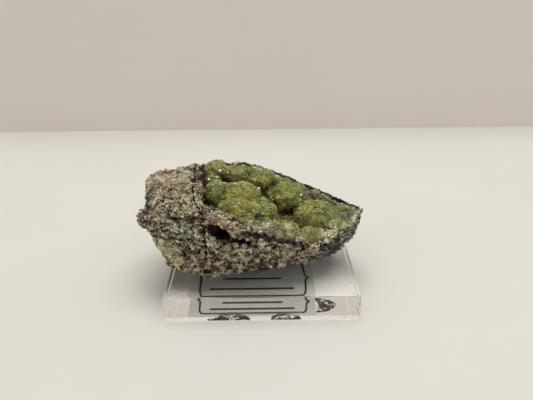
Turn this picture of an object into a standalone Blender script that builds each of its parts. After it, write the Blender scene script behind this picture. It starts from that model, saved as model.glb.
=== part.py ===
"""A smithsonite specimen on its display base.

A broken, boat-shaped piece of porous gossan holds a hollow lined with a crust of
green smithsonite. Three pads of putty hold it on a clear acrylic block, and a
printed film label is let into the underside of the block.

Sizes are in millimetres here, and the objects are built in metres with +Z up.
The origin is the middle of the block's underside. X runs to the right as the
specimen faces the viewer, and Y runs away from the viewer.
"""

import math
from typing import NamedTuple

import bmesh
import bpy
import numpy as np
from mathutils import Vector, noise

MM = 0.001
GAP = 0.35

# Acrylic block
BASE_SIDE = 44.45
BASE_HEIGHT = 6.6
BASE_EDGE_BREAK = 0.25

# Film label, flush with the underside of the block
LABEL_SIZE = (30.0, 18.0)
LABEL_CENTRE = (-2.4, -10.6)
LABEL_THICKNESS = 0.2
LABEL_POCKET_DEPTH = 0.5


class Station(NamedTuple):
    """One cross-section of the matrix: its place along X and its four corners as (y, z)."""

    x: float
    front_foot: tuple
    front_rim: tuple
    back_rim: tuple
    back_foot: tuple


STATIONS = (
    Station(-29.6, (-8.7, 19.2), (-8.6, 20.2), (-7.4, 20.3), (-7.2, 19.3)),
    Station(-28.2, (-9.6, 17.6), (-8.6, 20.9), (-4.5, 21.9), (-2.0, 18.0)),
    Station(-27.8, (-9.8, 17.0), (-8.2, 21.6), (-1.5, 27.0), (1.0, 16.2)),
    Station(-25.2, (-12.4, 14.2), (-9.5, 22.6), (2.5, 28.2), (6.0, 12.4)),
    Station(-21.5, (-14.8, 9.4), (-10.5, 23.0), (5.0, 28.2), (8.5, 9.4)),
    Station(-16.0, (-16.0, 8.2), (-11.5, 23.0), (7.0, 27.7), (10.0, 8.6)),
    Station(-12.0, (-16.2, 7.9), (-13.4, 21.8), (8.6, 26.9), (11.0, 8.2)),
    Station(-6.5, (-15.6, 7.9), (-15.2, 20.2), (10.0, 27.0), (11.5, 8.2)),
    Station(0.0, (-14.0, 8.8), (-15.6, 18.2), (10.3, 25.1), (11.0, 8.6)),
    Station(6.0, (-12.8, 8.3), (-14.6, 15.9), (10.0, 22.6), (10.0, 9.2)),
    Station(12.0, (-11.0, 8.4), (-12.7, 14.2), (9.0, 20.3), (8.0, 9.8)),
    Station(17.0, (-9.2, 9.6), (-10.6, 14.5), (6.8, 18.8), (5.0, 11.2)),
    Station(21.0, (-6.8, 10.8), (-8.2, 15.0), (4.2, 17.6), (2.5, 12.9)),
    Station(24.0, (-3.2, 13.2), (-4.5, 16.0), (2.0, 17.3), (1.0, 14.9)),
    Station(25.9, (-0.9, 16.0), (-1.2, 16.7), (0.8, 17.1), (0.6, 16.3)),
)

# Matrix skin
RING_SPACING = 1.0
SIDE_STEPS = 9
FRONT_BULGE = 0.6
BACK_BULGE = 3.0
UNDERSIDE_BULGE = 0.0
TOP_BULGE = 0.3
FULL_BULGE_WIDTH = 18.5
MATRIX_VOXEL = 0.8
MATRIX_KEEP = 0.225
MATRIX_SWELL = 0.2
ROUGH_LAYERS = ((7.5, 0.8), (3.4, 0.55), (1.7, 0.28))
ROUGH_SEED = Vector((3.7, 11.2, 5.9))
RIDGE_SHARE = 0.6
RIDGE_LEVEL = 0.35
LEAST_CLEARANCE = 0.45

# Hollow in the matrix, from its left end to its right end
HOLLOW_ENDS = (-14.3, 24.3)
HOLLOW_RINGS = 30
HOLLOW_ARC_STEPS = 20
HOLLOW_DEPTH_SHARE = 0.58
HOLLOW_SQUARENESS = 2.6
HOLLOW_END_ROUNDING = 3.0
HOLLOW_END_SHARE = 0.78
HOLLOW_LEAST_SIZE = 0.05
HOLLOW_OPEN_HEIGHT = 7.0

# Thickness of the walls beside the hollow at places along X, as (x, front, back)
HOLLOW_WALLS = (
    (-14.0, 3.0, 0.9),
    (-10.0, 4.2, 1.0),
    (-6.0, 3.6, 1.1),
    (0.0, 2.2, 1.4),
    (6.0, 1.5, 1.4),
    (25.0, 1.0, 1.0),
)

# Cavity and crack in the front wall below the rim, as centre and half sizes
CAVITY_CENTRE = (-9.5, -16.0, 18.8)
CAVITY_HALF = (2.0, 4.2, 1.5)
CRACK_CENTRE = (-4.9, -16.6, 17.3)
CRACK_HALF = (3.4, 3.0, 0.5)
CRACK_TILT_DEG = 15.0
PIT_UNEVENNESS = 0.22
PIT_LUMPS = 2.3

# Crust
CRUST_SKIN = 0.9
CRUST_EDGE_DROP = 0.3
CRUST_EDGE_ROUNDING = 3.6
CRUST_GRID = 0.9
CRUST_VOXEL = 0.5
CRUST_KEEP = 0.115
CRUST_BLOCK_X = (-15.0, 26.0)
CRUST_BLOCK_Y = (-17.0, 12.0)
CRUST_BLOCK_FLOOR = 6.0
KNOB_LAYERS = ((2.6, 0.75), (1.4, 0.35))
KNOB_LEVEL = 0.4
KNOB_SEED = Vector((1.3, 4.1, 7.7))


class Bulge(NamedTuple):
    """A rounded growth of the crust: the middle of its ellipsoid and its half sizes."""

    x: float
    y: float
    z: float
    half_x: float
    half_y: float
    half_z: float


BULGES = (
    # Along the back rim, from the peak at the left
    Bulge(-11.4, 5.8, 26.2, 2.4, 2.3, 2.3),
    Bulge(-9.0, 6.8, 25.4, 1.9, 1.7, 1.7),
    Bulge(-6.5, 6.9, 24.1, 2.9, 2.6, 2.1),
    Bulge(-0.8, 7.2, 22.5, 3.8, 3.3, 2.5),
    Bulge(4.9, 8.4, 20.8, 3.0, 2.5, 1.8),
    Bulge(6.0, 4.3, 18.6, 4.3, 3.8, 3.3),
    Bulge(9.4, 4.9, 17.4, 2.5, 2.2, 2.7),
    # The broad mound at the left and middle
    Bulge(-12.0, 3.0, 23.6, 1.7, 1.8, 1.9),
    Bulge(-10.6, -1.0, 22.1, 2.8, 3.2, 3.3),
    Bulge(-5.0, -1.4, 21.4, 4.3, 3.9, 3.2),
    Bulge(-6.7, -6.6, 20.3, 3.5, 3.2, 2.6),
    Bulge(-1.0, -5.2, 19.2, 4.1, 3.8, 2.6),
    Bulge(-4.0, -4.6, 16.6, 6.5, 5.6, 3.6),
    # The single mound at the right
    Bulge(13.8, -0.4, 14.9, 5.3, 4.8, 3.4),
    Bulge(21.4, 0.2, 14.4, 2.9, 2.6, 2.6),
    # The shelf behind the front rim
    Bulge(-3.6, -9.4, 18.8, 2.6, 2.0, 1.7),
    Bulge(0.4, -10.4, 18.0, 3.4, 2.4, 1.4),
    Bulge(5.9, -9.4, 15.9, 3.0, 2.6, 1.5),
    Bulge(11.7, -8.4, 13.8, 4.5, 2.6, 1.5),
    Bulge(18.6, -4.6, 14.0, 3.2, 2.7, 1.9),
)


class Pad(NamedTuple):
    """A putty pad on the block: its middle, half sizes, the height of its top and its bend."""

    x: float
    y: float
    half_x: float
    half_y: float
    top: float
    bend: float


PADS = {
    "putty_pad_left": Pad(-8.4, -7.6, 5.0, 3.6, 9.2, 0.0),
    "putty_pad_middle": Pad(6.0, -7.2, 3.6, 3.2, 9.6, 0.0),
    "putty_pad_right": Pad(17.0, 1.4, 1.9, 5.0, 12.6, -2.8),
}
PAD_SEGMENTS = 16
PAD_RINGS = 8
PAD_SHOULDER = 0.8
PAD_UNEVENNESS = 0.1
PAD_LUMPS = 0.6

COLOURS = {
    "acrylic_base": (0.95, 0.97, 0.97, 1.0),
    "film_label": (0.86, 0.86, 0.84, 1.0),
    "putty": (0.16, 0.18, 0.21, 1.0),
    "matrix": (0.24, 0.21, 0.17, 1.0),
    "smithsonite_crust": (0.30, 0.33, 0.09, 1.0),
}


def clear_scene():
    """Removes every object that the scene starts with."""
    for obj in list(bpy.data.objects):
        bpy.data.objects.remove(obj)


def material(name, colour, roughness, transmission=0.0, ior=1.5):
    """A Principled material."""
    made = bpy.data.materials.new(name)
    made.use_nodes = True
    shader = made.node_tree.nodes["Principled BSDF"]
    shader.inputs["Base Color"].default_value = colour
    shader.inputs["Roughness"].default_value = roughness
    shader.inputs["Metallic"].default_value = 0.0
    shader.inputs["Transmission Weight"].default_value = transmission
    shader.inputs["IOR"].default_value = ior
    return made


def object_from(name, bm, mat=None):
    """Turns a bmesh in millimetres into an object in metres with outward faces."""
    bmesh.ops.recalc_face_normals(bm, faces=bm.faces)
    bmesh.ops.scale(bm, vec=(MM, MM, MM), verts=bm.verts)
    mesh = bpy.data.meshes.new(name)
    bm.to_mesh(mesh)
    bm.free()
    if mat is not None:
        mesh.materials.append(mat)
    obj = bpy.data.objects.new(name, mesh)
    bpy.context.scene.collection.objects.link(obj)
    return obj


def as_cutter(obj):
    """Keeps a helper out of the model."""
    obj.hide_render = True
    obj.display_type = "WIRE"
    return obj


def cut(obj, cutter, operation="DIFFERENCE"):
    """Adds an exact Boolean with a cutter."""
    modifier = obj.modifiers.new(cutter.name, "BOOLEAN")
    modifier.operation = operation
    modifier.object = cutter
    modifier.solver = "EXACT"


def freeze(obj):
    """Replaces an object's mesh with its mesh after modifiers."""
    bpy.context.view_layer.update()
    evaluated = obj.evaluated_get(bpy.context.evaluated_depsgraph_get())
    mesh = bpy.data.meshes.new_from_object(evaluated)
    obj.modifiers.clear()
    obj.data = mesh


def box(bm, low, high):
    """Adds an axis-aligned box between two corners."""
    middle = [(a + b) / 2 for a, b in zip(low, high)]
    size = [b - a for a, b in zip(low, high)]
    made = bmesh.ops.create_cube(bm, size=1.0)
    bmesh.ops.scale(bm, vec=size, verts=made["verts"])
    bmesh.ops.translate(bm, vec=middle, verts=made["verts"])


def loft(bm, rings):
    """Joins rings of equal length with quads and closes both ends."""
    rows = [[bm.verts.new(point) for point in ring] for ring in rings]
    for row, following in zip(rows, rows[1:]):
        for i in range(len(row)):
            j = (i + 1) % len(row)
            bm.faces.new((row[i], row[j], following[j], following[i]))
    bm.faces.new(rows[0])
    bm.faces.new(rows[-1])


def corner(x, name):
    """A station corner as (y, z), interpolated along X."""
    places = [station.x for station in STATIONS]
    return np.array(
        [np.interp(x, places, [getattr(s, name)[axis] for s in STATIONS]) for axis in (0, 1)]
    )


def matrix_ring(x):
    """The outline of the matrix at x, before the hollow is cut."""
    corners = [corner(x, name) for name in Station._fields[1:]]
    width = np.linalg.norm(corners[3] - corners[0])
    fullness = min(1.0, width / FULL_BULGE_WIDTH)
    bulges = (FRONT_BULGE, TOP_BULGE, BACK_BULGE, UNDERSIDE_BULGE)
    points = []
    for i, bulge in enumerate(bulges):
        start = corners[i]
        side = corners[(i + 1) % 4] - start
        outward = np.array([-side[1], side[0]]) / max(np.linalg.norm(side), 1e-6)
        for step in range(SIDE_STEPS):
            share = step / SIDE_STEPS
            swell = bulge * fullness * math.sin(math.pi * share)
            y, z = start + side * share + outward * swell
            points.append((x, y, z))
    return points


def roughness_at(point):
    """How far the broken surface stands out at a point, in millimetres."""
    total = MATRIX_SWELL
    for size, height in ROUGH_LAYERS:
        place = (point + ROUGH_SEED * size) / size
        total += height * noise.noise(place)
        ridges = noise.voronoi(place)[0]
        total += RIDGE_SHARE * height * (ridges[1] - ridges[0] - RIDGE_LEVEL)
    return total


def roughen(obj):
    """Moves the surface of the matrix in and out, and keeps it clear of the block."""
    mesh = obj.data
    lowest = BASE_HEIGHT + LEAST_CLEARANCE
    normals = [vertex.normal.copy() for vertex in mesh.vertices]
    for vertex, normal in zip(mesh.vertices, normals):
        point = vertex.co / MM
        point += normal * roughness_at(point)
        point.z = max(point.z, lowest)
        vertex.co = point * MM
    mesh.update()


def opening_height(x, y):
    """Height of the plane between the front rim and the back rim."""
    front = corner(x, "front_rim")
    back = corner(x, "back_rim")
    return front[1] + (y - front[0]) / (back[0] - front[0]) * (back[1] - front[1])


def hollow_section(x, inset):
    """The middle, half width and depth of the hollow at x, drawn in by inset."""
    front = corner(x, "front_rim")
    back = corner(x, "back_rim")
    places, fronts, backs = zip(*HOLLOW_WALLS)
    near = front[0] + np.interp(x, places, fronts)
    far = back[0] - np.interp(x, places, backs)
    foot = (corner(x, "front_foot")[1] + corner(x, "back_foot")[1]) / 2
    rim = (front[1] + back[1]) / 2
    past_end = 1 - min((x - HOLLOW_ENDS[0]) / HOLLOW_END_ROUNDING, 1.0)
    fullness = math.sqrt(max(1 - past_end**2, 0.0))
    rounding = HOLLOW_END_SHARE + (1 - HOLLOW_END_SHARE) * fullness
    half = (far - near) / 2 * rounding - inset
    depth = HOLLOW_DEPTH_SHARE * (rim - foot) * rounding - inset
    return (near + far) / 2, max(half, HOLLOW_LEAST_SIZE), max(depth, HOLLOW_LEAST_SIZE)


def hollow_floor(x, y, inset):
    """Height of the hollow's wall over (x, y), or None outside it."""
    middle, half, depth = hollow_section(x, inset)
    share = abs(y - middle) / half
    if share >= 1:
        return None
    fall = (1 - share**HOLLOW_SQUARENESS) ** (1 / HOLLOW_SQUARENESS)
    return opening_height(x, y) - depth * fall


def hollow_cutter(name, inset):
    """The solid that fills the hollow and stands above its opening."""
    rings = []
    for place in np.linspace(*HOLLOW_ENDS, HOLLOW_RINGS):
        middle, half, depth = hollow_section(place, inset)
        x = min(max(place, HOLLOW_ENDS[0] + inset), HOLLOW_ENDS[1] - inset)
        ring = []
        for step in range(HOLLOW_ARC_STEPS + 1):
            angle = math.pi * step / HOLLOW_ARC_STEPS
            power = 2 / HOLLOW_SQUARENESS
            y = middle - half * math.copysign(abs(math.cos(angle)) ** power, math.cos(angle))
            z = opening_height(x, y) - depth * abs(math.sin(angle)) ** power
            ring.append((x, y, z))
        for y in (middle + half, middle - half):
            ring.append((x, y, opening_height(x, y) + HOLLOW_OPEN_HEIGHT))
        rings.append(ring)
    bm = bmesh.new()
    loft(bm, rings)
    return as_cutter(object_from(name, bm))


def pit_cutter(name, centre, half, tilt_deg=0.0):
    """A rough ellipsoid that cuts a pit into the front wall."""
    bm = bmesh.new()
    bmesh.ops.create_icosphere(bm, subdivisions=2, radius=1.0)
    turn = math.radians(tilt_deg)
    for vert in bm.verts:
        uneven = 1 + PIT_UNEVENNESS * noise.noise(vert.co * PIT_LUMPS)
        x, y, z = (vert.co[axis] * half[axis] * uneven for axis in range(3))
        x, z = x * math.cos(turn) + z * math.sin(turn), z * math.cos(turn) - x * math.sin(turn)
        vert.co = Vector((x, y, z)) + Vector(centre)
    return as_cutter(object_from(name, bm))


def pad_solid(name, pad, grow=0.0, mat=None):
    """A rounded lump of putty with a flat foot; grow makes the cutter for its seat."""
    bm = bmesh.new()
    bmesh.ops.create_uvsphere(bm, u_segments=PAD_SEGMENTS, v_segments=PAD_RINGS, radius=1.0)
    foot = BASE_HEIGHT + GAP - grow
    height = pad.top - foot + grow
    for vert in bm.verts:
        out_x, out_y, up = vert.co
        y = out_y * (pad.half_y + grow)
        x = out_x * (pad.half_x + grow) + pad.bend * out_y**2
        lump = 1 + PAD_UNEVENNESS * noise.noise(Vector((x, y, up)) * PAD_LUMPS)
        z = foot + height * max(up, 0.0) ** PAD_SHOULDER * lump
        vert.co = (pad.x + x, pad.y + y, z)
    return object_from(name, bm, mat)


def growth_limit(x, y):
    """Height that the crust may reach over (x, y): the rim's, rounded up away from it."""
    middle, half, _ = hollow_section(x, GAP)
    from_wall = half - abs(y - middle)
    from_end = min(x - HOLLOW_ENDS[0], HOLLOW_ENDS[1] - x) - GAP
    inward = min(max(min(from_wall, from_end), 0.0), CRUST_EDGE_ROUNDING)
    rise = math.sqrt(CRUST_EDGE_ROUNDING**2 - (CRUST_EDGE_ROUNDING - inward) ** 2)
    return opening_height(x, y) - CRUST_EDGE_DROP + rise


def skin_height(x, y):
    """Height of the crust's thin skin over (x, y)."""
    floor = hollow_floor(x, y, CRUST_SKIN)
    level = opening_height(x, y) - CRUST_EDGE_DROP
    return level if floor is None else min(floor, level)


def crust_growth():
    """A block whose top is the crust's skin, with the bulges standing in it."""
    xs = np.arange(*CRUST_BLOCK_X, CRUST_GRID)
    ys = np.arange(*CRUST_BLOCK_Y, CRUST_GRID)
    count_x, count_y = len(xs), len(ys)
    bm = bmesh.new()
    upper = [[bm.verts.new((x, y, skin_height(x, y))) for y in ys] for x in xs]
    for i in range(count_x - 1):
        for j in range(count_y - 1):
            quad = (upper[i][j], upper[i + 1][j], upper[i + 1][j + 1], upper[i][j + 1])
            bm.faces.new(quad)
    border = [upper[i][0] for i in range(count_x)]
    border += [upper[-1][j] for j in range(1, count_y)]
    border += [upper[i][-1] for i in range(count_x - 2, -1, -1)]
    border += [upper[0][j] for j in range(count_y - 2, 0, -1)]
    foot = [bm.verts.new((v.co.x, v.co.y, CRUST_BLOCK_FLOOR)) for v in border]
    for i in range(len(border)):
        j = (i + 1) % len(border)
        bm.faces.new((border[i], border[j], foot[j], foot[i]))
    bm.faces.new(foot)
    for bulge in BULGES:
        made = bmesh.ops.create_icosphere(bm, subdivisions=3, radius=1.0)
        bmesh.ops.scale(bm, vec=(bulge.half_x, bulge.half_y, bulge.half_z), verts=made["verts"])
        bmesh.ops.translate(bm, vec=(bulge.x, bulge.y, bulge.z), verts=made["verts"])
    return bm


def knob_at(point):
    """How far the crust's small knobs stand out at a point, in millimetres."""
    total = 0.0
    for size, height in KNOB_LAYERS:
        nearest = noise.voronoi(point / size + KNOB_SEED)[0][0]
        total += height * (KNOB_LEVEL - min(nearest, 1.0) ** 2)
    return total


def grow_knobs(obj):
    """Covers the crust with knobs, and rounds it down towards the rim."""
    mesh = obj.data
    normals = [vertex.normal.copy() for vertex in mesh.vertices]
    for vertex, normal in zip(mesh.vertices, normals):
        point = vertex.co / MM
        point += normal * knob_at(point)
        point.z = min(point.z, growth_limit(point.x, point.y))
        vertex.co = point * MM
    mesh.update()


def build_base(materials):
    """The clear block, with a shallow pocket for the label in its underside."""
    half = BASE_SIDE / 2
    bm = bmesh.new()
    box(bm, (-half, -half, 0.0), (half, half, BASE_HEIGHT))
    bmesh.ops.bevel(
        bm,
        geom=bm.edges[:],
        offset=BASE_EDGE_BREAK,
        offset_type="OFFSET",
        segments=2,
        profile=0.5,
        affect="EDGES",
    )
    base = object_from("acrylic_base", bm, materials["acrylic_base"])
    low = [c - s / 2 - GAP for c, s in zip(LABEL_CENTRE, LABEL_SIZE)]
    high = [c + s / 2 + GAP for c, s in zip(LABEL_CENTRE, LABEL_SIZE)]
    bm = bmesh.new()
    box(bm, (*low, -LABEL_POCKET_DEPTH), (*high, LABEL_POCKET_DEPTH))
    cut(base, as_cutter(object_from("label_pocket", bm)))


def build_label(materials):
    """The printed film, flush with the underside of the block."""
    low = [c - s / 2 for c, s in zip(LABEL_CENTRE, LABEL_SIZE)]
    high = [c + s / 2 for c, s in zip(LABEL_CENTRE, LABEL_SIZE)]
    bm = bmesh.new()
    box(bm, (*low, 0.0), (*high, LABEL_THICKNESS))
    object_from("film_label", bm, materials["film_label"])


def build_pads(materials):
    """The putty pads, and the cutters for their seats in the matrix."""
    seats = []
    for name, pad in PADS.items():
        pad_solid(name, pad, mat=materials["putty"])
        seats.append(as_cutter(pad_solid(name + "_seat", pad, grow=GAP)))
    return seats


def build_matrix(materials, seats):
    """The rock: a lofted blank, broken up, then cut for the hollow, pits and putty."""
    first, last = STATIONS[0].x, STATIONS[-1].x
    count = round((last - first) / RING_SPACING)
    places = sorted({s.x for s in STATIONS} | set(np.linspace(first, last, count)))
    bm = bmesh.new()
    loft(bm, [matrix_ring(x) for x in places])
    matrix = object_from("matrix", bm, materials["matrix"])
    remesh = matrix.modifiers.new("even_skin", "REMESH")
    remesh.mode = "VOXEL"
    remesh.voxel_size = MATRIX_VOXEL * MM
    freeze(matrix)
    roughen(matrix)
    thin = matrix.modifiers.new("fewer_faces", "DECIMATE")
    thin.ratio = MATRIX_KEEP
    freeze(matrix)
    cut(matrix, hollow_cutter("hollow", 0.0))
    cut(matrix, pit_cutter("cavity", CAVITY_CENTRE, CAVITY_HALF))
    cut(matrix, pit_cutter("crack", CRACK_CENTRE, CRACK_HALF, CRACK_TILT_DEG))
    for seat in seats:
        cut(matrix, seat)


def build_crust(materials):
    """The crust: skin and bulges joined, covered with knobs, kept where the hollow is."""
    crust = object_from("smithsonite_crust", crust_growth(), materials["smithsonite_crust"])
    remesh = crust.modifiers.new("one_growth", "REMESH")
    remesh.mode = "VOXEL"
    remesh.voxel_size = CRUST_VOXEL * MM
    freeze(crust)
    grow_knobs(crust)
    thin = crust.modifiers.new("fewer_faces", "DECIMATE")
    thin.ratio = CRUST_KEEP
    freeze(crust)
    cut(crust, hollow_cutter("hollow_inside_gap", GAP), "INTERSECT")


def main():
    """Builds the specimen on its base."""
    clear_scene()
    materials = {
        "acrylic_base": material("acrylic_base", COLOURS["acrylic_base"], 0.02, 1.0, 1.49),
        "film_label": material("film_label", COLOURS["film_label"], 0.4),
        "putty": material("putty", COLOURS["putty"], 0.7),
        "matrix": material("matrix", COLOURS["matrix"], 0.85),
        "smithsonite_crust": material("smithsonite_crust", COLOURS["smithsonite_crust"], 0.45),
    }
    build_base(materials)
    build_label(materials)
    seats = build_pads(materials)
    build_matrix(materials, seats)
    build_crust(materials)


main()
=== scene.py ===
"""The looks of a smithsonite specimen on a clear display block.

The rock, its green crust, the putty, the block and the printed film are worked up
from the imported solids. Sizes are in millimetres, and are turned to metres where a
mesh is written. Places read off the photograph are given in its pixels, and are
carried along the camera's line of sight to the surface that they lie on.
"""

import logging
import math
from collections.abc import Iterable, Mapping, Sequence
from dataclasses import dataclass
from enum import Enum
from typing import Any

import bmesh
import bpy
import numpy as np
from mathutils import Matrix, Vector, noise
from mathutils.bvhtree import BVHTree


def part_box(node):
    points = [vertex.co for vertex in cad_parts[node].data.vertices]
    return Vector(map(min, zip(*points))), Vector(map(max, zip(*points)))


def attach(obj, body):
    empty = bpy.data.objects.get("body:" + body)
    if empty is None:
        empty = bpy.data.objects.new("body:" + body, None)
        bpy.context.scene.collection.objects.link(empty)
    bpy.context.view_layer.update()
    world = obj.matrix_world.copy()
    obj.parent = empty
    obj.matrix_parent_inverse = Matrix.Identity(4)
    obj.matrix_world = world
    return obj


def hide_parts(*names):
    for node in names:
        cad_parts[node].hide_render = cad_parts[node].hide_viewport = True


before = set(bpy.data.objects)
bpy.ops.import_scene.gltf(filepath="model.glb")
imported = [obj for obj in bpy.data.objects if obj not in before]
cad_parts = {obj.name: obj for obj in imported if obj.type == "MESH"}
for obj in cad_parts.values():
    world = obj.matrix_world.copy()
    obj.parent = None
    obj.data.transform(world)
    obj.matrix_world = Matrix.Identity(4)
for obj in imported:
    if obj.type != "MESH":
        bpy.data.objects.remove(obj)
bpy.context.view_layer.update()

log = logging.getLogger("specimen")

Pixel = tuple[float, float]
Colour = tuple[float, float, float]
Span = tuple[float, ...]
Array = np.ndarray
Socket = bpy.types.NodeSocket

MM = 0.001
BODY = "root"
# The stone breaks in flat chips, so its patterns are squeezed upwards
BEDDING = (0.88, 1.0, 1.15)
# How far places are squeezed along the line of sight, for lines and for nudges
LINE_SQUEEZE = 0.7
NUDGE_SQUEEZE = 0.6
# Turns the middle of a cell into its random number
PICK_MIX = (7.31, 3.17, 5.71)
PICK_SPREAD = 43.7
# Numbers painted on the meshes beside the tones
PIT = "pit"
GRAIN = "grain"
SAWN = "sawn"


class Tone(Enum):
    """The stains and minerals that colour parts of the rock and the crust, and the painted shadow in
    their clefts and hollows.
    """

    CREAM = "cream"
    RUST = "rust"
    MOSS = "moss"
    PALE = "pale"
    SLATE = "slate"
    # Near black: painted shadow in clefts, hollows and under ledges
    PAINTED_SHADOW = "painted_shadow"


def rgba(colour: Colour) -> tuple[float, float, float, float]:
    """A colour with full alpha, as sockets want it."""
    return (*colour, 1.0)


@dataclass(frozen=True)
class Viewpoint:
    """The photograph's camera, worked out from the four corners of the block.

    Angles are in degrees, the place is in millimetres and the focal length in pixels.
    """

    place: tuple[float, float, float] = (0.357, -108.655, 72.926)
    pitch: float = 26.047
    yaw: float = 0.525
    roll: float = 0.431
    focal: float = 479.08
    width: float = 533.0
    height: float = 400.0
    sensor: float = 36.0

    def turn(self) -> Matrix:
        """The camera's rotation: its columns point right, up and back."""
        yaw = Matrix.Rotation(-math.radians(self.yaw), 3, "Z")
        pitch = Matrix.Rotation(math.pi / 2 - math.radians(self.pitch), 3, "X")
        roll = Matrix.Rotation(-math.radians(self.roll), 3, "Z")
        return yaw @ pitch @ roll

    def axes(self) -> tuple[Array, Array, Array]:
        """Unit vectors to the right, up and away, as the camera sees them."""
        turn = np.array(self.turn())
        return turn[:, 0], turn[:, 1], -turn[:, 2]

    def line(self, pixel: Pixel) -> Vector:
        """The direction of sight through a pixel of the photograph.

        Args:
            pixel: The pixel, counted from the top left.

        Returns:
            A unit vector away from the camera.
        """
        across = (pixel[0] - self.width / 2) / self.focal
        down = (pixel[1] - self.height / 2) / self.focal
        return (self.turn() @ Vector((across, -down, -1.0))).normalized()

    def build(self) -> bpy.types.Object:
        """Makes the scene's camera.

        Returns:
            The camera object, set as the scene's own.
        """
        lens = bpy.data.cameras.new("viewpoint")
        lens.sensor_width = self.sensor
        lens.lens = self.focal * self.sensor / self.width
        lens.clip_start = MM
        camera = link(bpy.data.objects.new("viewpoint", lens))
        camera.matrix_world = Matrix.Translation(Vector(self.place) * MM) @ self.turn().to_4x4()
        bpy.context.scene.camera = camera
        return camera


VIEW = Viewpoint()


@dataclass(frozen=True)
class Patch:
    """A stain: the pixel of its middle, its half sizes as seen, its strength and its lean."""

    tone: Tone
    pixel: Pixel
    half_width: float
    half_height: float
    strength: float = 1.0
    lean: float = 0.0
    depth: float = 3.0

    def mask(self, places: Array, tree: BVHTree) -> Array:
        """How strongly the patch covers each place.

        Args:
            places: Points in millimetres.
            tree: The surface that the pixel is carried to.

        Returns:
            A number from 0 to 1 for each place.
        """
        right, up, away = VIEW.axes()
        offset = places - hit(tree, self.pixel)
        turn = math.radians(self.lean)
        across = offset @ (right * math.cos(turn) + up * math.sin(turn)) / self.half_width
        upward = offset @ (up * math.cos(turn) - right * math.sin(turn)) / self.half_height
        inward = offset @ away / self.depth
        return self.strength * np.clip(1.0 - across**2 - upward**2 - inward**2, 0.0, 1.0)


@dataclass(frozen=True)
class Streak:
    """A line on a surface through pixels of the photograph, with its half width."""

    pixels: tuple[Pixel, ...]
    half_width: float
    tone: Tone
    strength: float = 1.0
    rise: float = 0.0

    def distance(self, places: Array, tree: BVHTree) -> Array:
        """The distance from each place to the streak, which follows the surface.

        Args:
            places: Points in millimetres.
            tree: The surface that the pixels are carried to.

        Returns:
            A distance in half widths for each place.
        """
        ends = np.array(self.pixels)
        marks = np.linspace(0, len(ends) - 1, 4 * len(ends) - 3)
        order = np.arange(len(ends))
        along = zip(np.interp(marks, order, ends[:, 0]), np.interp(marks, order, ends[:, 1]))
        points = flattened(np.array([hit(tree, pixel) for pixel in along]))
        return distance_to_line(flattened(places), points) / self.half_width


@dataclass(frozen=True)
class Nudge:
    """Moves a surface near a pixel of the photograph by millimetres right and up, as seen."""

    pixel: Pixel
    reach: float
    right: float
    up: float


def patches(tone: Tone, *rows: Span) -> tuple[Patch, ...]:
    """Lists the patches of one tone.

    Args:
        tone: The tone that they share.
        *rows: For each patch its pixel across and down, its half width and half height
            in millimetres, and where they aren't plain its strength and its lean in degrees.

    Returns:
        The patches, in the same order.
    """
    return tuple(Patch(tone, row[:2], *row[2:]) for row in rows)


def nudges(*rows: Span) -> tuple[Nudge, ...]:
    """Lists nudges, each from its pixel across and down, its reach, and how far right and up."""
    return tuple(Nudge(row[:2], *row[2:]) for row in rows)


@dataclass(frozen=True)
class Lumps:
    """One size of swelling on a surface: its width, its height and its pattern's seed."""

    size: float
    height: float
    seed: float

    def grid(self, places: Array) -> list[list[float]]:
        """Places in units of the swelling's width, moved by the seed."""
        return (places / self.size + self.seed).tolist()

    def pattern(self, places: Array) -> Array:
        """Smooth noise from -1 to 1 at each place."""
        return np.array([noise.noise(point) for point in self.grid(places)])

    def heights(self, places: Array) -> Array:
        """How far the swellings stand in or out at each place, in millimetres."""
        return self.height * self.pattern(places)

    def cells(self, places: Array) -> tuple[Array, Array, Array]:
        """Reads the rounded cells that fill space at each place.

        Args:
            places: Points in millimetres.

        Returns:
            The distance to the nearest cell's middle, how much further the next one is,
            both in cells, and a random number from 0 to 1 for the nearest cell.
        """
        nearest, margins, picks = [], [], []
        for point in self.grid(places):
            distances, middles = noise.voronoi(point)
            nearest.append(distances[0])
            margins.append(distances[1] - distances[0])
            picks.append(sum(part * mix for part, mix in zip(middles[0], PICK_MIX)))
        picks = np.array(picks) * PICK_SPREAD
        return np.array(nearest), np.array(margins), picks - np.floor(picks)


def link(obj: bpy.types.Object) -> bpy.types.Object:
    """Puts an object into the scene."""
    bpy.context.scene.collection.objects.link(obj)
    return obj


def object_from(name: str, bm: bmesh.types.BMesh) -> bpy.types.Object:
    """Turns a bmesh in millimetres into an object in metres.

    Args:
        name: The name of the new piece.
        bm: The shape, which is freed.

    Returns:
        The object, linked to the scene.
    """
    bmesh.ops.recalc_face_normals(bm, faces=bm.faces)
    bmesh.ops.scale(bm, vec=(MM, MM, MM), verts=bm.verts)
    mesh = bpy.data.meshes.new(name)
    bm.to_mesh(mesh)
    bm.free()
    return link(bpy.data.objects.new(name, mesh))


def voxel_copy(node: str, name: str, voxel: float) -> bpy.types.Object:
    """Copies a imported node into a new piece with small, even faces.

    Args:
        node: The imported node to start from.
        name: The name of the new piece.
        voxel: The face size in millimetres.

    Returns:
        The new piece.
    """
    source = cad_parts[node]
    mesh = source.data.copy()
    mesh.transform(source.matrix_world)
    mesh.materials.clear()
    piece = link(bpy.data.objects.new(name, mesh))
    remesh = piece.modifiers.new("even_faces", "REMESH")
    remesh.mode = "VOXEL"
    remesh.voxel_size = voxel * MM
    bpy.context.view_layer.update()
    evaluated = piece.evaluated_get(bpy.context.evaluated_depsgraph_get())
    piece.data = bpy.data.meshes.new_from_object(evaluated)
    piece.data.name = name
    piece.modifiers.clear()
    return piece


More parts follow.
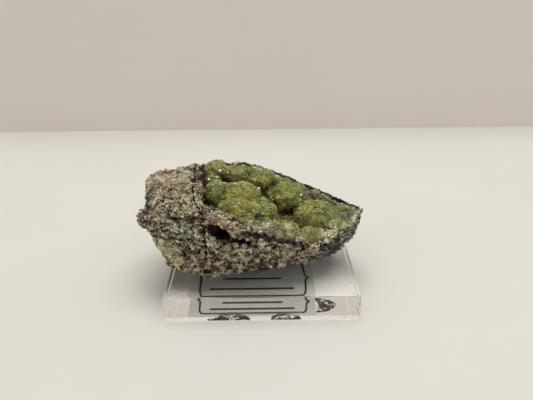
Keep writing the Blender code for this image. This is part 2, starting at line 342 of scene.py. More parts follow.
def paint(piece: bpy.types.Object, name: str, values: Array) -> None:
    """Stores one number for each point of a piece, for its material to read."""
    layer = piece.data.attributes.new(name, "FLOAT", "POINT")
    layer.data.foreach_set("value", values.astype(np.float32))


def hit(tree: BVHTree, pixel: Pixel) -> Array:
    """The place that a pixel of the photograph shows on a surface.

    Args:
        tree: The surface.
        pixel: The pixel, counted from the top left.

    Returns:
        The place in millimetres, or the nearest one where the line of sight misses.
    """
    start = Vector(VIEW.place)
    direction = VIEW.line(pixel)
    found = tree.ray_cast(start, direction)[0]
    if found is None:
        found = tree.find_nearest(start + direction * start.length)[0]
    return np.array(found)


def clear_of(tree: BVHTree, places: Array, distance: float) -> Array:
    """1 at each place that is further than a distance from a surface, else 0."""
    found = [tree.find_nearest(place, distance)[0] is None for place in places.tolist()]
    return np.array(found, dtype=float)


def distance_to_line(places: Array, points: Sequence[Array]) -> Array:
    """Measures how far places are from a line.

    Args:
        places: Points in millimetres.
        points: The line's corners.

    Returns:
        The shortest distance for each place.
    """
    best = np.full(len(places), np.inf)
    for start, end in zip(points, points[1:]):
        along = end - start
        share = np.clip((places - start) @ along / max(along @ along, 1e-9), 0.0, 1.0)
        best = np.minimum(best, np.linalg.norm(places - start - share[:, None] * along, axis=1))
    return best


def flattened(places: Array, share: float = LINE_SQUEEZE) -> Array:
    """Places squeezed along the line of sight, so that a line lies on bumps and in hollows."""
    away = VIEW.axes()[2]
    return places - share * np.outer(places @ away, away)


def nudged(places: Array, moves: Iterable[Nudge], tree: BVHTree) -> Array:
    """Moves places by each nudge near them.

    Args:
        places: Points in millimetres.
        moves: The nudges.
        tree: The surface that the pixels are carried to.

    Returns:
        The moved places.
    """
    right, up, _ = VIEW.axes()
    moved = places.copy()
    for nudge in moves:
        offset = flattened(places - hit(tree, nudge.pixel), NUDGE_SQUEEZE)
        share = np.exp(-np.sum(offset**2, axis=1) / nudge.reach**2)
        moved += share[:, None] * (right * nudge.right + up * nudge.up)
    return moved


def tone_masks(
    places: Array, stains: Iterable[Patch], streaks: Iterable[Streak], tree: BVHTree
) -> dict[Tone, Array]:
    """Works out where each tone lies.

    Args:
        places: Points in millimetres.
        stains: The surface's patches.
        streaks: The surface's streaks.
        tree: The surface that the pixels are carried to.

    Returns:
        For each tone, its strength from 0 to 1 at each place.
    """
    masks = {tone: np.zeros(len(places)) for tone in Tone}
    for patch in stains:
        masks[patch.tone] = np.maximum(masks[patch.tone], patch.mask(places, tree))
    for streak in streaks:
        cover = streak.strength * np.exp(-streak.distance(places, tree) ** 2)
        masks[streak.tone] = np.maximum(masks[streak.tone], cover)
    return masks


class Skin:
    """A dense mesh, held as arrays in millimetres while its surface is worked."""

    def __init__(self, piece: bpy.types.Object) -> None:
        """Reads a piece's points and edges.

        Args:
            piece: The piece to work on.
        """
        self.piece = piece
        mesh = piece.data
        flat = np.empty(len(mesh.vertices) * 3, dtype=np.float32)
        mesh.vertices.foreach_get("co", flat)
        self.places = flat.reshape(-1, 3).astype(float) / MM
        ends = np.empty(len(mesh.edges) * 2, dtype=np.int32)
        mesh.edges.foreach_get("vertices", ends)
        self.ends = ends.reshape(-1, 2)
        self.valence = np.bincount(ends, minlength=len(self.places))[:, None]

    def around(self, values: Array) -> Array:
        """Averages over each point's neighbours.

        Args:
            values: One row of numbers for each point.

        Returns:
            The mean of the neighbours' rows at each point.
        """
        first, second = self.ends[:, 0], self.ends[:, 1]
        count = len(values)
        total = [
            np.bincount(first, values[second, axis], count)
            + np.bincount(second, values[first, axis], count)
            for axis in range(values.shape[1])
        ]
        return np.stack(total, axis=1) / self.valence

    def smoothed(self, values: Array, rounds: int) -> Array:
        """Values after some rounds of averaging with their neighbours."""
        for _ in range(rounds):
            values = (values + self.around(values)) / 2
        return values

    def relax(self, rounds: int) -> None:
        """Smooths the surface."""
        self.places = self.smoothed(self.places, rounds)

    def normals(self) -> Array:
        """Unit normals of the surface as it stands."""
        self.write()
        mesh = self.piece.data
        flat = np.empty(len(mesh.vertices) * 3, dtype=np.float32)
        mesh.vertex_normals.foreach_get("vector", flat)
        return flat.reshape(-1, 3).astype(float)

    def push(self, heights: Array) -> None:
        """Moves each point along its normal by a height in millimetres."""
        self.places = self.places + self.normals() * heights[:, None]

    def depth_below(self, rounds: int) -> Array:
        """How far each point lies below its smoothed surroundings, in millimetres."""
        offset = self.smoothed(self.places, rounds) - self.places
        return np.einsum("ij,ij->i", offset, self.normals())

    def write(self) -> None:
        """Puts the points back into the mesh."""
        mesh = self.piece.data
        mesh.vertices.foreach_set("co", (self.places * MM).astype(np.float32).ravel())
        mesh.update()

    def tree(self) -> BVHTree:
        """The surface in millimetres, ready for lines of sight."""
        faces = [tuple(face.vertices) for face in self.piece.data.polygons]
        return BVHTree.FromPolygons(self.places.tolist(), faces)

    def stain(
        self, depth: Array, stains: Iterable[Patch], streaks: Iterable[Streak]
    ) -> dict[Tone, Array]:
        """Ends the work on the surface, and paints it for its material.

        Args:
            depth: How deep each point lies in a pit, in millimetres.
            stains: The surface's patches.
            streaks: The surface's streaks.

        Returns:
            The tone masks.
        """
        self.write()
        paint(self.piece, PIT, depth)
        masks = tone_masks(self.places, stains, streaks, self.tree())
        for tone, mask in masks.items():
            paint(self.piece, tone.value, mask)
        self.piece.data.shade_smooth()
        return masks


class Wiring:
    """Adds nodes to one node tree and joins them up."""

    def __init__(self, tree: bpy.types.NodeTree) -> None:
        """Starts on a tree."""
        self.tree = tree

    def fill(self, node: bpy.types.Node, inputs: Mapping[str | int, Any]) -> None:
        """Links a node's inputs to other sockets, or sets their values.

        Args:
            node: The node.
            inputs: A socket or a value for each input.
        """
        for key, value in inputs.items():
            if isinstance(value, Socket):
                self.tree.links.new(value, node.inputs[key])
            else:
                node.inputs[key].default_value = value

    def node(
        self, kind: str, inputs: Mapping[str | int, Any] | None = None, **settings: Any
    ) -> bpy.types.Node:
        """Adds a node.

        Args:
            kind: Blender's name for the node's type.
            inputs: Values or other nodes' sockets for its inputs.
            **settings: The node's own settings.

        Returns:
            The new node.
        """
        made = self.tree.nodes.new(kind)
        for name, value in settings.items():
            setattr(made, name, value)
        self.fill(made, inputs or {})
        return made

    def maths(self, operation: str, *values: Any) -> Socket:
        """A Math node's result."""
        return self.node("ShaderNodeMath", dict(enumerate(values)), operation=operation).outputs[0]

    def vector(self, operation: str, *values: Any) -> Socket:
        """A Vector Math node's result."""
        made = self.node("ShaderNodeVectorMath", dict(enumerate(values)), operation=operation)
        return made.outputs[0]

    def scaled(self, vector: Any, factor: Any) -> Socket:
        """A vector times a number."""
        made = self.node("ShaderNodeVectorMath", {0: vector, "Scale": factor}, operation="SCALE")
        return made.outputs[0]

    def shrunk(self, vector: Any, size: Any) -> Socket:
        """A vector divided by a number."""
        return self.scaled(vector, self.maths("DIVIDE", 1.0, size))

    def swing(self, value: Any, middle: float, gain: Any) -> Socket:
        """How far a value is above a middle, times a gain."""
        return self.maths("MULTIPLY", self.maths("SUBTRACT", value, middle), gain)

    def between(self, value: Any, low: float, high: float, *out: float) -> Socket:
        """Moves a value smoothly from one range into another.

        Args:
            value: The value.
            low: The value's lower end.
            high: Its upper end.
            *out: What the two ends become, which is 0 and 1 if it isn't given.

        Returns:
            The result's socket.
        """
        start, end = out or (0.0, 1.0)
        inputs = {0: value, 1: low, 2: high, 3: start, 4: end}
        return self.node("ShaderNodeMapRange", inputs, interpolation_type="SMOOTHSTEP").outputs[0]

    def blend(self, factor: Any, first: Any, second: Any, how: str = "MIX") -> Socket:
        """Two colours mixed."""
        inputs = {0: factor, 6: first, 7: second}
        return self.node("ShaderNodeMix", inputs, data_type="RGBA", blend_type=how).outputs[2]

    def times(self, first: Any, second: Any) -> Socket:
        """Two colours multiplied."""
        return self.blend(1.0, first, second, "MULTIPLY")

    def shaded(self, colour: Any, value: Any) -> Socket:
        """A colour times a number that changes over the surface."""
        grey = self.node("ShaderNodeCombineColor", {0: value, 1: value, 2: value})
        return self.times(colour, grey.outputs[0])

    def ramp(self, value: Any, stops: Sequence[tuple[float, Colour]]) -> Socket:
        """Picks a colour along a ramp.

        Args:
            value: Where on the ramp, from 0 to 1.
            stops: The ramp's places and their colours.

        Returns:
            The colour's socket.
        """
        made = self.node("ShaderNodeValToRGB", {0: value})
        elements = made.color_ramp.elements
        while len(elements) < len(stops):
            elements.new(1.0)
        for element, (place, colour) in zip(elements, stops):
            element.position = place
            element.color = rgba(colour)
        return made.outputs[0]

    def tint(self, value: Any, dark: Colour, light: Colour) -> Socket:
        """A colour between two, by a value from 0 to 1."""
        return self.ramp(value, ((0.0, dark), (1.0, light)))

    def attribute(self, name: str) -> Socket:
        """One of the numbers painted on the mesh."""
        return self.node("ShaderNodeAttribute", attribute_name=name).outputs["Fac"]

    def place(self) -> Socket:
        """The surface's place in millimetres."""
        return self.scaled(self.node("ShaderNodeTexCoord").outputs["Object"], 1 / MM)

    def effect(self, group: "Effect", **inputs: Any) -> bpy.types.Node:
        """Places an effect's group in this tree.

        Args:
            group: The effect.
            **inputs: Values or sockets for the group's inputs, named in small letters.

        Returns:
            The group's node.
        """
        made = self.node("ShaderNodeGroup", node_tree=group.tree())
        self.fill(made, {name.capitalize(): value for name, value in inputs.items()})
        return made

    def clouds(self, place: Socket, **inputs: Any) -> Socket:
        """Soft clouds of light and dark from 0 to 1."""
        return self.effect(MOTTLE, place=place, **inputs).outputs[0]

    def bump(self, height: Any, distance: float, under: Any = None) -> Socket:
        """Makes a normal from heights.

        Args:
            height: The height's socket.
            distance: What a height of 1 stands for, in millimetres.
            under: A normal that the heights are added to.

        Returns:
            The normal's socket.
        """
        inputs = {"Height": height, "Distance": distance * MM, "Strength": 1.0}
        if under is not None:
            inputs["Normal"] = under
        return self.node("ShaderNodeBump", inputs).outputs[0]


@dataclass(frozen=True)
class Effect:
    """A shader node group that more than one finish uses."""

    name: str = ""
    inputs: tuple[tuple[str, float], ...] = ()
    outputs: tuple[str, ...] = ()

    def tree(self) -> bpy.types.NodeTree:
        """The group's tree, which is built the first time it is asked for."""
        made = bpy.data.node_groups.get(self.name)
        if made is None:
            made = bpy.data.node_groups.new(self.name, "ShaderNodeTree")
            sockets = made.interface
            sockets.new_socket("Place", in_out="INPUT", socket_type="NodeSocketVector")
            for name, value in self.inputs:
                socket = sockets.new_socket(name, in_out="INPUT", socket_type="NodeSocketFloat")
                socket.default_value = value
            for name in self.outputs:
                sockets.new_socket(name, in_out="OUTPUT", socket_type="NodeSocketFloat")
            wiring = Wiring(made)
            results = self.wire(wiring, wiring.node("NodeGroupInput").outputs)
            wiring.node("NodeGroupOutput", dict(zip(self.outputs, results)))
        return made

    def wire(self, wiring: Wiring, given: Any) -> tuple[Socket, ...]:
        """Makes the group's nodes.

        Args:
            wiring: Adds nodes to the group.
            given: The group's inputs, by name.

        Returns:
            One socket for each output, in order.
        """
        raise NotImplementedError


@dataclass(frozen=True)
class GrainEffect(Effect):
    """Packed angular grains: a random tone for each, the joint around it and its rise."""

    name: str = "packed_grains"
    inputs: tuple[tuple[str, float], ...] = (("Size", 0.8), ("Waver", 0.3))
    outputs: tuple[str, ...] = ("Tone", "Joint", "Rise")
    joint_width: float = 0.16
    slope_width: float = 0.42

    def wire(self, wiring: Wiring, given: Any) -> tuple[Socket, ...]:
        """Makes grains from two readings of one Voronoi pattern.

        Args:
            wiring: Adds nodes to the group.
            given: The group's inputs, by name.

        Returns:
            The tone, the joint and the rise.
        """
        packed = wiring.shrunk(given["Place"], given["Size"])
        drift = wiring.node("ShaderNodeTexNoise", {"Vector": packed, "Scale": 1.3, "Detail": 2.0})
        centred = wiring.vector("SUBTRACT", drift.outputs["Color"], (0.5,) * 3)
        moved = wiring.vector("ADD", packed, wiring.scaled(centred, given["Waver"]))
        inputs = {"Vector": moved, "Scale": 1.0}
        inside = wiring.node("ShaderNodeTexVoronoi", inputs).outputs["Color"]
        rim = wiring.node("ShaderNodeTexVoronoi", inputs, feature="DISTANCE_TO_EDGE")
        joint, rise = (
            wiring.between(rim.outputs["Distance"], 0.0, width)
            for width in (self.joint_width, self.slope_width)
        )
        return wiring.node("ShaderNodeSeparateColor", {0: inside}).outputs[0], joint, rise


@dataclass(frozen=True)
class MottleEffect(Effect):
    """Soft clouds of light and dark from 0 to 1."""

    name: str = "soft_mottle"
    inputs: tuple[tuple[str, float], ...] = (("Size", 4.0), ("Detail", 4.0), ("Spread", 0.18))
    outputs: tuple[str, ...] = ("Value",)

    def wire(self, wiring: Wiring, given: Any) -> tuple[Socket, ...]:
        """Makes the clouds from one noise, stretched about its middle.

        Args:
            wiring: Adds nodes to the group.
            given: The group's inputs, by name.

        Returns:
            The clouds.
        """
        inputs = {
            "Vector": given["Place"],
            "Scale": wiring.maths("DIVIDE", 1.0, given["Size"]),
            "Detail": given["Detail"],
            "Roughness": 0.6,
        }
        noisy = wiring.node("ShaderNodeTexNoise", inputs).outputs[0]
        centred = wiring.maths("SUBTRACT", noisy, 0.5)
        stretched = wiring.maths("DIVIDE", centred, wiring.maths("MULTIPLY", given["Spread"], 2.0))
        shifted = wiring.maths("ADD", stretched, 0.5)
        return (wiring.node("ShaderNodeClamp", {0: shifted}).outputs[0],)


@dataclass(frozen=True)
class RaggedEffect(Effect):
    """Gives a painted mask a broken edge, from clouds of its own."""

    name: str = "ragged_edge"
    inputs: tuple[tuple[str, float], ...] = (("Mask", 0.0), ("Size", 1.2), ("Wear", 0.8))
    outputs: tuple[str, ...] = ("Cover",)
    gate: Span = (0.02, 0.25)
    edge: Span = (0.22, 0.55)

    def wire(self, wiring: Wiring, given: Any) -> tuple[Socket, ...]:
        """Adds clouds to the mask and cuts it off at its middle.

        Args:
            wiring: Adds nodes to the group.
            given: The group's inputs, by name.

        Returns:
            The cover.
        """
        clouds = wiring.clouds(given["Place"], size=given["Size"], spread=0.2, detail=3.0)
        swing = wiring.swing(clouds, 0.5, given["Wear"])
        gate = wiring.between(given["Mask"], *self.gate)
        uneven = wiring.maths("MULTIPLY", wiring.maths("ADD", given["Mask"], swing), gate)
        return (wiring.between(uneven, *self.edge),)


@dataclass(frozen=True)
class ChipEffect(Effect):
    """A ragged broken texture: its value, dark specks and light crystals, all lying flat.

    Each reading of the noise has a scale, a detail, a shift, and the range that it keeps.
    """

    name: str = "chipped_stone"
    inputs: tuple[tuple[str, float], ...] = (("Size", 1.5),)
    outputs: tuple[str, ...] = ("Value", "Speck", "Crystal")
    roughness: float = 0.72
    readings: tuple[Span, ...] = (
        (1.0, 6.0, 0.0, 0.37, 0.65),
        (1.6, 3.0, 17.0, 0.54, 0.62),
        (2.4, 3.0, 41.0, 0.56, 0.61),
    )

    def wire(self, wiring: Wiring, given: Any) -> tuple[Socket, ...]:
        """Makes three readings of noise, each finer than the last.

        Args:
            wiring: Adds nodes to the group.
            given: The group's inputs, by name.

        Returns:
            The value, the specks and the crystals.
        """
        flat = wiring.vector("MULTIPLY", given["Place"], BEDDING)
        packed = wiring.shrunk(flat, given["Size"])
        made = []
        for scale, detail, shift, low, high in self.readings:
            moved = wiring.vector("ADD", packed, (shift,) * 3)
            inputs = {"Vector": moved, "Scale": scale, "Detail": detail, "Roughness": self.roughness}
            made.append(wiring.between(wiring.node("ShaderNodeTexNoise", inputs).outputs[0], low, high))
        return tuple(made)


GRAINS = GrainEffect()
MOTTLE = MottleEffect()
RAGGED = RaggedEffect()
CHIPS = ChipEffect()


@dataclass(frozen=True)
class Finish:
    """A material for one kind of surface."""

    name: str = ""

    def material(self) -> bpy.types.Material:
        """The material, which is made the first time it is asked for."""
        made = bpy.data.materials.get(self.name)
        if made is None:
            made = bpy.data.materials.new(self.name)
            made.use_nodes = True
            shader = made.node_tree.nodes["Principled BSDF"]
            self.wire(Wiring(made.node_tree), shader)
        return made

    def wire(self, wiring: Wiring, shader: bpy.types.Node) -> None:
        """Sets the shader's sockets and makes the nodes that feed them.

        Args:
            wiring: Adds nodes to the material.
            shader: The material's main shader.
        """
        raise NotImplementedError

    def put_on(self, piece: bpy.types.Object, slot: str) -> None:
        """Dresses a piece that rides on the specimen's one body.

        Args:
            piece: The piece to dress.
            slot: The record's material slot that it stands for; not used.
        """
        piece.data.materials.clear()
        piece.data.materials.append(self.material())
        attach(piece, BODY)


@dataclass(frozen=True)
class Stain:
    """How a tone looks: dark, light, how ragged its edge is and how much it hides."""

    tone: Tone
    dark: Colour
    light: Colour
    wear: float = 1.1
    share: float = 0.88


@dataclass(frozen=True)
class StainedFinish(Finish):
    """A finish whose body colour is stained where tones are painted on the mesh."""

    stains: tuple[Stain, ...] = ()

    def stained(self, wiring: Wiring, place: Socket, colour: Socket, value: Socket) -> Socket:
        """Lays the stains over a colour, each over the last.

        Args:
            wiring: Adds nodes to the material.
            place: The surface's place in millimetres.
            colour: The colour below the stains.
            value: What picks between a stain's dark and light.

        Returns:
            The stained colour.
        """
        for stain in self.stains:
            mask = wiring.attribute(stain.tone.value)
            cover = wiring.effect(RAGGED, place=place, mask=mask, wear=stain.wear).outputs[0]
            mixed = wiring.blend(value, rgba(stain.dark), rgba(stain.light))
            colour = wiring.blend(wiring.maths("MULTIPLY", cover, stain.share), colour, mixed)
        return colour


@dataclass(frozen=True)
class GossanFinish(StainedFinish):
    """Broken porous gossan: packed grains stained with rust, cream and moss, with painted shadow in its
    clefts and hollows.
    """

    name: str = "gossan"
    stains: tuple[Stain, ...] = (
        Stain(Tone.CREAM, (0.44, 0.36, 0.23), (0.95, 0.90, 0.68)),
        Stain(Tone.RUST, (0.28, 0.17, 0.09), (0.84, 0.58, 0.36)),
        Stain(Tone.MOSS, (0.40, 0.38, 0.17), (0.86, 0.82, 0.48)),
        Stain(Tone.PALE, (0.38, 0.39, 0.28), (0.90, 0.91, 0.72)),
        Stain(Tone.SLATE, (0.052, 0.046, 0.038), (0.240, 0.222, 0.185)),
        # Painted shadow: near black in the seam, the cavity, the crack, clefts and under the ledge
        Stain(Tone.PAINTED_SHADOW, (0.012, 0.010, 0.008), (0.085, 0.060, 0.044), wear=0.30, share=0.96),
    )
    chip_size: float = 1.15
    grain_size: float = 0.5
    body_stops: tuple[tuple[float, Colour], ...] = (
        (0.00, (0.034, 0.025, 0.018)),
        (0.20, (0.110, 0.087, 0.060)),
        (0.42, (0.310, 0.270, 0.185)),
        (0.62, (0.570, 0.530, 0.370)),
        (0.82, (0.850, 0.820, 0.620)),
        (1.00, (0.960, 0.945, 0.800)),
    )
    drift_stops: tuple[tuple[float, Colour], ...] = (
        (0.0, (1.12, 0.86, 0.70)),
        (0.5, (1.02, 0.98, 0.82)),
        (1.0, (0.94, 1.04, 0.88)),
    )
    grain_swing: Span = (0.5, 0.22)
    clump_swing: Span = (0.56, 0.62)
    fleck: tuple[Colour, Colour] = ((0.18, 0.10, 0.06), (0.46, 0.29, 0.18))
    fleck_gate: Span = (0.86, 0.94, 0.0, 0.55)
    crystal: Colour = (0.92, 0.91, 0.80)
    crystal_share: float = 0.85
    painted_shadow_gate: Span = (0.1, 0.5, 1.0, 0.0)
    speck_shade: Span = (0.0, 0.8, 0.28, 0.78)
    joint_shade: Span = (0.0, 1.0, 0.72, 1.0)
    pit_shade: Span = (-0.08, 0.22, 1.18, 0.12)

    def stone(self, wiring: Wiring, place: Socket, chips: bpy.types.Node, tone: Socket) -> Socket:
        """The broken stone's colour with its stains and painted shadow, before the painted shade of its
        pits.

        Args:
            wiring: Adds nodes to the material.
            place: The surface's place in millimetres.
            chips: The chipped texture's node.
            tone: A random value for each grain.

        Returns:
            The colour's socket.
        """
        drift = wiring.ramp(wiring.clouds(place, size=3.0, spread=0.15), self.drift_stops)
        clumps = wiring.clouds(place, size=1.9, spread=0.15, detail=2.0)
        swung = wiring.maths("ADD", chips.outputs["Value"], wiring.swing(tone, *self.grain_swing))
        value = wiring.maths("ADD", swung, wiring.swing(clumps, *self.clump_swing))
        colour = wiring.times(wiring.ramp(value, self.body_stops), drift)
        rusty = wiring.blend(tone, *map(rgba, self.fleck))
        colour = wiring.blend(wiring.between(tone, *self.fleck_gate), colour, rusty)
        colour = self.stained(wiring, place, colour, value)
        light = wiring.maths("MULTIPLY", chips.outputs["Crystal"], self.crystal_share)
        # The pale crystals are left out of the painted shadow
        bare = wiring.between(wiring.attribute(Tone.PAINTED_SHADOW.value), *self.painted_shadow_gate)
        return wiring.blend(wiring.maths("MULTIPLY", light, bare), colour, rgba(self.crystal))

    def wire(self, wiring: Wiring, shader: bpy.types.Node) -> None:
        """Lays stone, stains, specks, dark joints and painted shade in the pits over each other.

        Args:
            wiring: Adds nodes to the material.
            shader: The material's main shader.
        """
        place = wiring.place()
        chips = wiring.effect(CHIPS, place=place, size=self.chip_size)
        grains = wiring.effect(GRAINS, place=place, size=self.grain_size, waver=0.9)
        colour = self.stone(wiring, place, chips, grains.outputs["Tone"])
        cream, moss = (wiring.attribute(tone.value) for tone in (Tone.CREAM, Tone.MOSS))
        least = wiring.between(wiring.maths("MAXIMUM", cream, moss), *self.speck_shade)
        speck = wiring.blend(chips.outputs["Speck"], (1.0,) * 4, least)
        joint = wiring.between(grains.outputs["Joint"], *self.joint_shade)
        # Painted shade: darker in pits and lighter on bumps, by the painted pit depth
        painted_pit_shade = wiring.between(wiring.attribute(PIT), *self.pit_shade)
        shade = wiring.maths("MULTIPLY", wiring.maths("MULTIPLY", speck, joint), painted_pit_shade)
        coarse = wiring.bump(chips.outputs["Value"], 0.35)
        inputs = {
            "Base Color": wiring.shaded(colour, shade),
            "Roughness": wiring.between(chips.outputs["Crystal"], 0.0, 1.0, 0.9, 0.4),
            "Normal": wiring.bump(grains.outputs["Rise"], 0.07, coarse),
            "Specular IOR Level": 0.35,
        }
        wiring.fill(shader, inputs)


@dataclass(frozen=True)
class GrainFinish(GossanFinish):
    """Loose grains on the rock, each a little lighter or darker than the stone under it."""

    name: str = "loose_grains"
    veil: tuple[Colour, Colour] = ((0.62, 0.60, 0.57), (1.15, 1.14, 1.12))

    def wire(self, wiring: Wiring, shader: bpy.types.Node) -> None:
        """Colours each grain as the rock, and clouds its faces.

        Args:
            wiring: Adds nodes to the material.
            shader: The material's main shader.
        """
        place = wiring.place()
        grain = wiring.attribute(GRAIN)
        chips = wiring.effect(CHIPS, place=place, size=self.chip_size)
        clouds = wiring.clouds(place, size=0.35, detail=3.0)
        colour = self.stone(wiring, place, chips, grain)
        inputs = {
            "Base Color": wiring.times(colour, wiring.tint(clouds, *self.veil)),
            "Roughness": wiring.between(grain, 0.5, 0.95, 0.85, 0.35),
            "Normal": wiring.bump(clouds, 0.05),
            "Specular IOR Level": 0.4,
        }
        wiring.fill(shader, inputs)


@dataclass(frozen=True)
class DruseFinish(StainedFinish):
    """Yellow-green smithsonite: a sugary, slightly translucent crust."""

    name: str = "smithsonite_druse"
    stains: tuple[Stain, ...] = (
        Stain(Tone.MOSS, (0.32, 0.32, 0.055), (0.54, 0.54, 0.120), 0.55, 0.85),
        Stain(Tone.PALE, (0.088, 0.093, 0.046), (0.215, 0.225, 0.118), 0.55, 0.85),
        Stain(Tone.CREAM, (0.34, 0.34, 0.20), (0.84, 0.83, 0.62), 0.55, 0.85),
        Stain(Tone.RUST, (0.30, 0.19, 0.08), (0.56, 0.42, 0.20), 0.55, 0.85),
        Stain(Tone.SLATE, (0.040, 0.044, 0.032), (0.190, 0.200, 0.140), 0.55, 0.85),
        # Painted shadow: near black in the clefts between the swellings
        Stain(Tone.PAINTED_SHADOW, (0.006, 0.007, 0.002), (0.035, 0.036, 0.012), 0.55, 0.85),
    )
    sugar_size: float = 0.30
    cloud_share: float = 0.6
    body_stops: tuple[tuple[float, Colour], ...] = (
        (0.0, (0.140, 0.140, 0.030)),
        (0.45, (0.220, 0.222, 0.050)),
        (1.0, (0.325, 0.330, 0.090)),
    )
    # Painted highlight: the raised tops of the swellings are paled
    top_highlight: Colour = (0.50, 0.51, 0.23)
    top_highlight_gate: Span = (-0.45, -0.05, 0.6, 0.0)
    joint_shade: Span = (0.0, 1.0, 0.80, 1.0)
    pit_shade: Span = (-0.10, 0.50, 1.10, 0.22)
    glow: float = 0.6
    glow_colour: Colour = (0.9, 1.0, 0.35)
    glow_reach: float = 1.4
    ior: float = 1.6

    def body(self, wiring: Wiring, place: Socket, fine: Socket) -> Socket:
        """The crust's colour with its painted shadow and the painted highlight on raised tops, before
        the painted shade of its hollows and its dark joints.

        Args:
            wiring: Adds nodes to the material.
            place: The surface's place in millimetres.
            fine: A random value for each small crystal.

        Returns:
            The colour's socket.
        """
        clouds = wiring.clouds(place, size=2.6, spread=0.2)
        parts = ((clouds, self.cloud_share), (fine, 0.4))
        value = wiring.maths("ADD", *(wiring.maths("MULTIPLY", *part) for part in parts))
        colour = self.stained(wiring, place, wiring.ramp(value, self.body_stops), fine)
        # Painted highlight on the raised tops, in soft drifts
        drifts = wiring.clouds(place, size=1.3, spread=0.25)
        raised = wiring.between(wiring.attribute(PIT), *self.top_highlight_gate)
        return wiring.blend(wiring.maths("MULTIPLY", raised, drifts), colour, rgba(self.top_highlight))

    def light(self, shader: bpy.types.Node) -> None:
        """Lets light into the crystals.

        Args:
            shader: The material's main shader, which takes the values on its own sockets.
        """
        shader.inputs["Subsurface Weight"].default_value = self.glow
        shader.inputs["Subsurface Radius"].default_value = self.glow_colour
        shader.inputs["Subsurface Scale"].default_value = self.glow_reach * MM
        shader.inputs["IOR"].default_value = self.ior

    def wire(self, wiring: Wiring, shader: bpy.types.Node) -> None:
        """Lays crystals, dark joints and painted shade in the hollows over each other.

        Args:
            wiring: Adds nodes to the material.
            shader: The material's main shader.
        """
        place = wiring.place()
        sugar = wiring.effect(GRAINS, place=place, size=self.sugar_size, waver=0.4)
        colour = self.body(wiring, place, sugar.outputs["Tone"])
        joint = wiring.between(sugar.outputs["Joint"], *self.joint_shade)
        # Painted shade: darker in pits and in the valleys between swellings, a little lighter on tops
        painted_pit_shade = wiring.between(wiring.attribute(PIT), *self.pit_shade)
        inputs = {
            "Base Color": wiring.shaded(colour, wiring.maths("MULTIPLY", joint, painted_pit_shade)),
            "Roughness": wiring.between(sugar.outputs["Tone"], 0.3, 1.0, 0.6, 0.25),
            "Normal": wiring.bump(sugar.outputs["Rise"], 0.06),
        }
        wiring.fill(shader, inputs)
        self.light(shader)


@dataclass(frozen=True)
class CrystalFinish(DruseFinish):
    """The small crystals that stand on the crust, each with a lightness of its own."""

    name: str = "smithsonite_crystals"
    veil: tuple[Colour, Colour] = ((0.80, 0.80, 0.72), (1.20, 1.20, 1.12))
    pit_shade: Span = (-0.05, 0.50, 1.1, 0.3)
    ior: float = 1.65

    def wire(self, wiring: Wiring, shader: bpy.types.Node) -> None:
        """Colours each crystal as the crust under it.

        Args:
            wiring: Adds nodes to the material.
            shader: The material's main shader.
        """
        place = wiring.place()
        colour = self.body(wiring, place, wiring.attribute(GRAIN))
        haze = wiring.clouds(place, size=0.3, detail=2.0)
        veiled = wiring.times(colour, wiring.tint(haze, *self.veil))
        # Painted shade: darker where a crystal stands in a pit, a little lighter on tops
        painted_pit_shade = wiring.between(wiring.attribute(PIT), *self.pit_shade)
        inputs = {
            "Base Color": wiring.shaded(veiled, painted_pit_shade),
            "Roughness": wiring.between(haze, 0.0, 1.0, 0.12, 0.3),
        }
        wiring.fill(shader, inputs)
        self.light(shader)


@dataclass(frozen=True)
class MottledFinish(Finish):
    """A surface whose colour and roughness drift between two values each, in soft clouds."""

    dark: Colour = (0.0, 0.0, 0.0)
    light: Colour = (1.0, 1.0, 1.0)
    clouds: tuple[tuple[str, float], ...] = (("size", 0.4), ("detail", 2.0))
    smooth: float = 0.5
    rough: float = 0.7

    def wire(self, wiring: Wiring, shader: bpy.types.Node) -> None:
        """Feeds the colour and the roughness from one reading of clouds.

        Args:
            wiring: Adds nodes to the material.
            shader: The material's main shader.
        """
        drift = wiring.clouds(wiring.place(), **dict(self.clouds))
        inputs = {
            "Base Color": wiring.tint(drift, self.dark, self.light),
            "Roughness": wiring.between(drift, 0.0, 1.0, self.smooth, self.rough),
        }
        wiring.fill(shader, inputs)


@dataclass(frozen=True)
class GlintFinish(MottledFinish):
    """The few white crystals on the crust, their white a painted highlight where it catches the light.
    """

    name: str = "glint_crystals"
    # White for the glints: a painted highlight
    dark: Colour = (0.72, 0.73, 0.66)
    light: Colour = (0.97, 0.97, 0.95)
    smooth: float = 0.1
    rough: float = 0.3

    def wire(self, wiring: Wiring, shader: bpy.types.Node) -> None:
        """Clouds each white crystal a little."""
        super().wire(wiring, shader)
        shader.inputs["IOR"].default_value = 1.65


@dataclass(frozen=True)
class FilmFinish(MottledFinish):
    """Clear label film, just seen against the block."""

    name: str = "label_film"
    dark: Colour = (0.42, 0.43, 0.45)
    light: Colour = (0.50, 0.51, 0.52)
    clouds: tuple[tuple[str, float], ...] = (("size", 3.0), ("spread", 0.3))
    smooth: float = 0.35
    rough: float = 0.5
    cover: float = 0.12

    def wire(self, wiring: Wiring, shader: bpy.types.Node) -> None:
        """Makes a thin haze with faint drifts in it."""
        super().wire(wiring, shader)
        shader.inputs["Alpha"].default_value = self.cover


@dataclass(frozen=True)
class InkFinish(MottledFinish):
    """Black print, a little uneven."""

    name: str = "label_ink"
    dark: Colour = (0.004, 0.004, 0.006)
    light: Colour = (0.020, 0.019, 0.020)


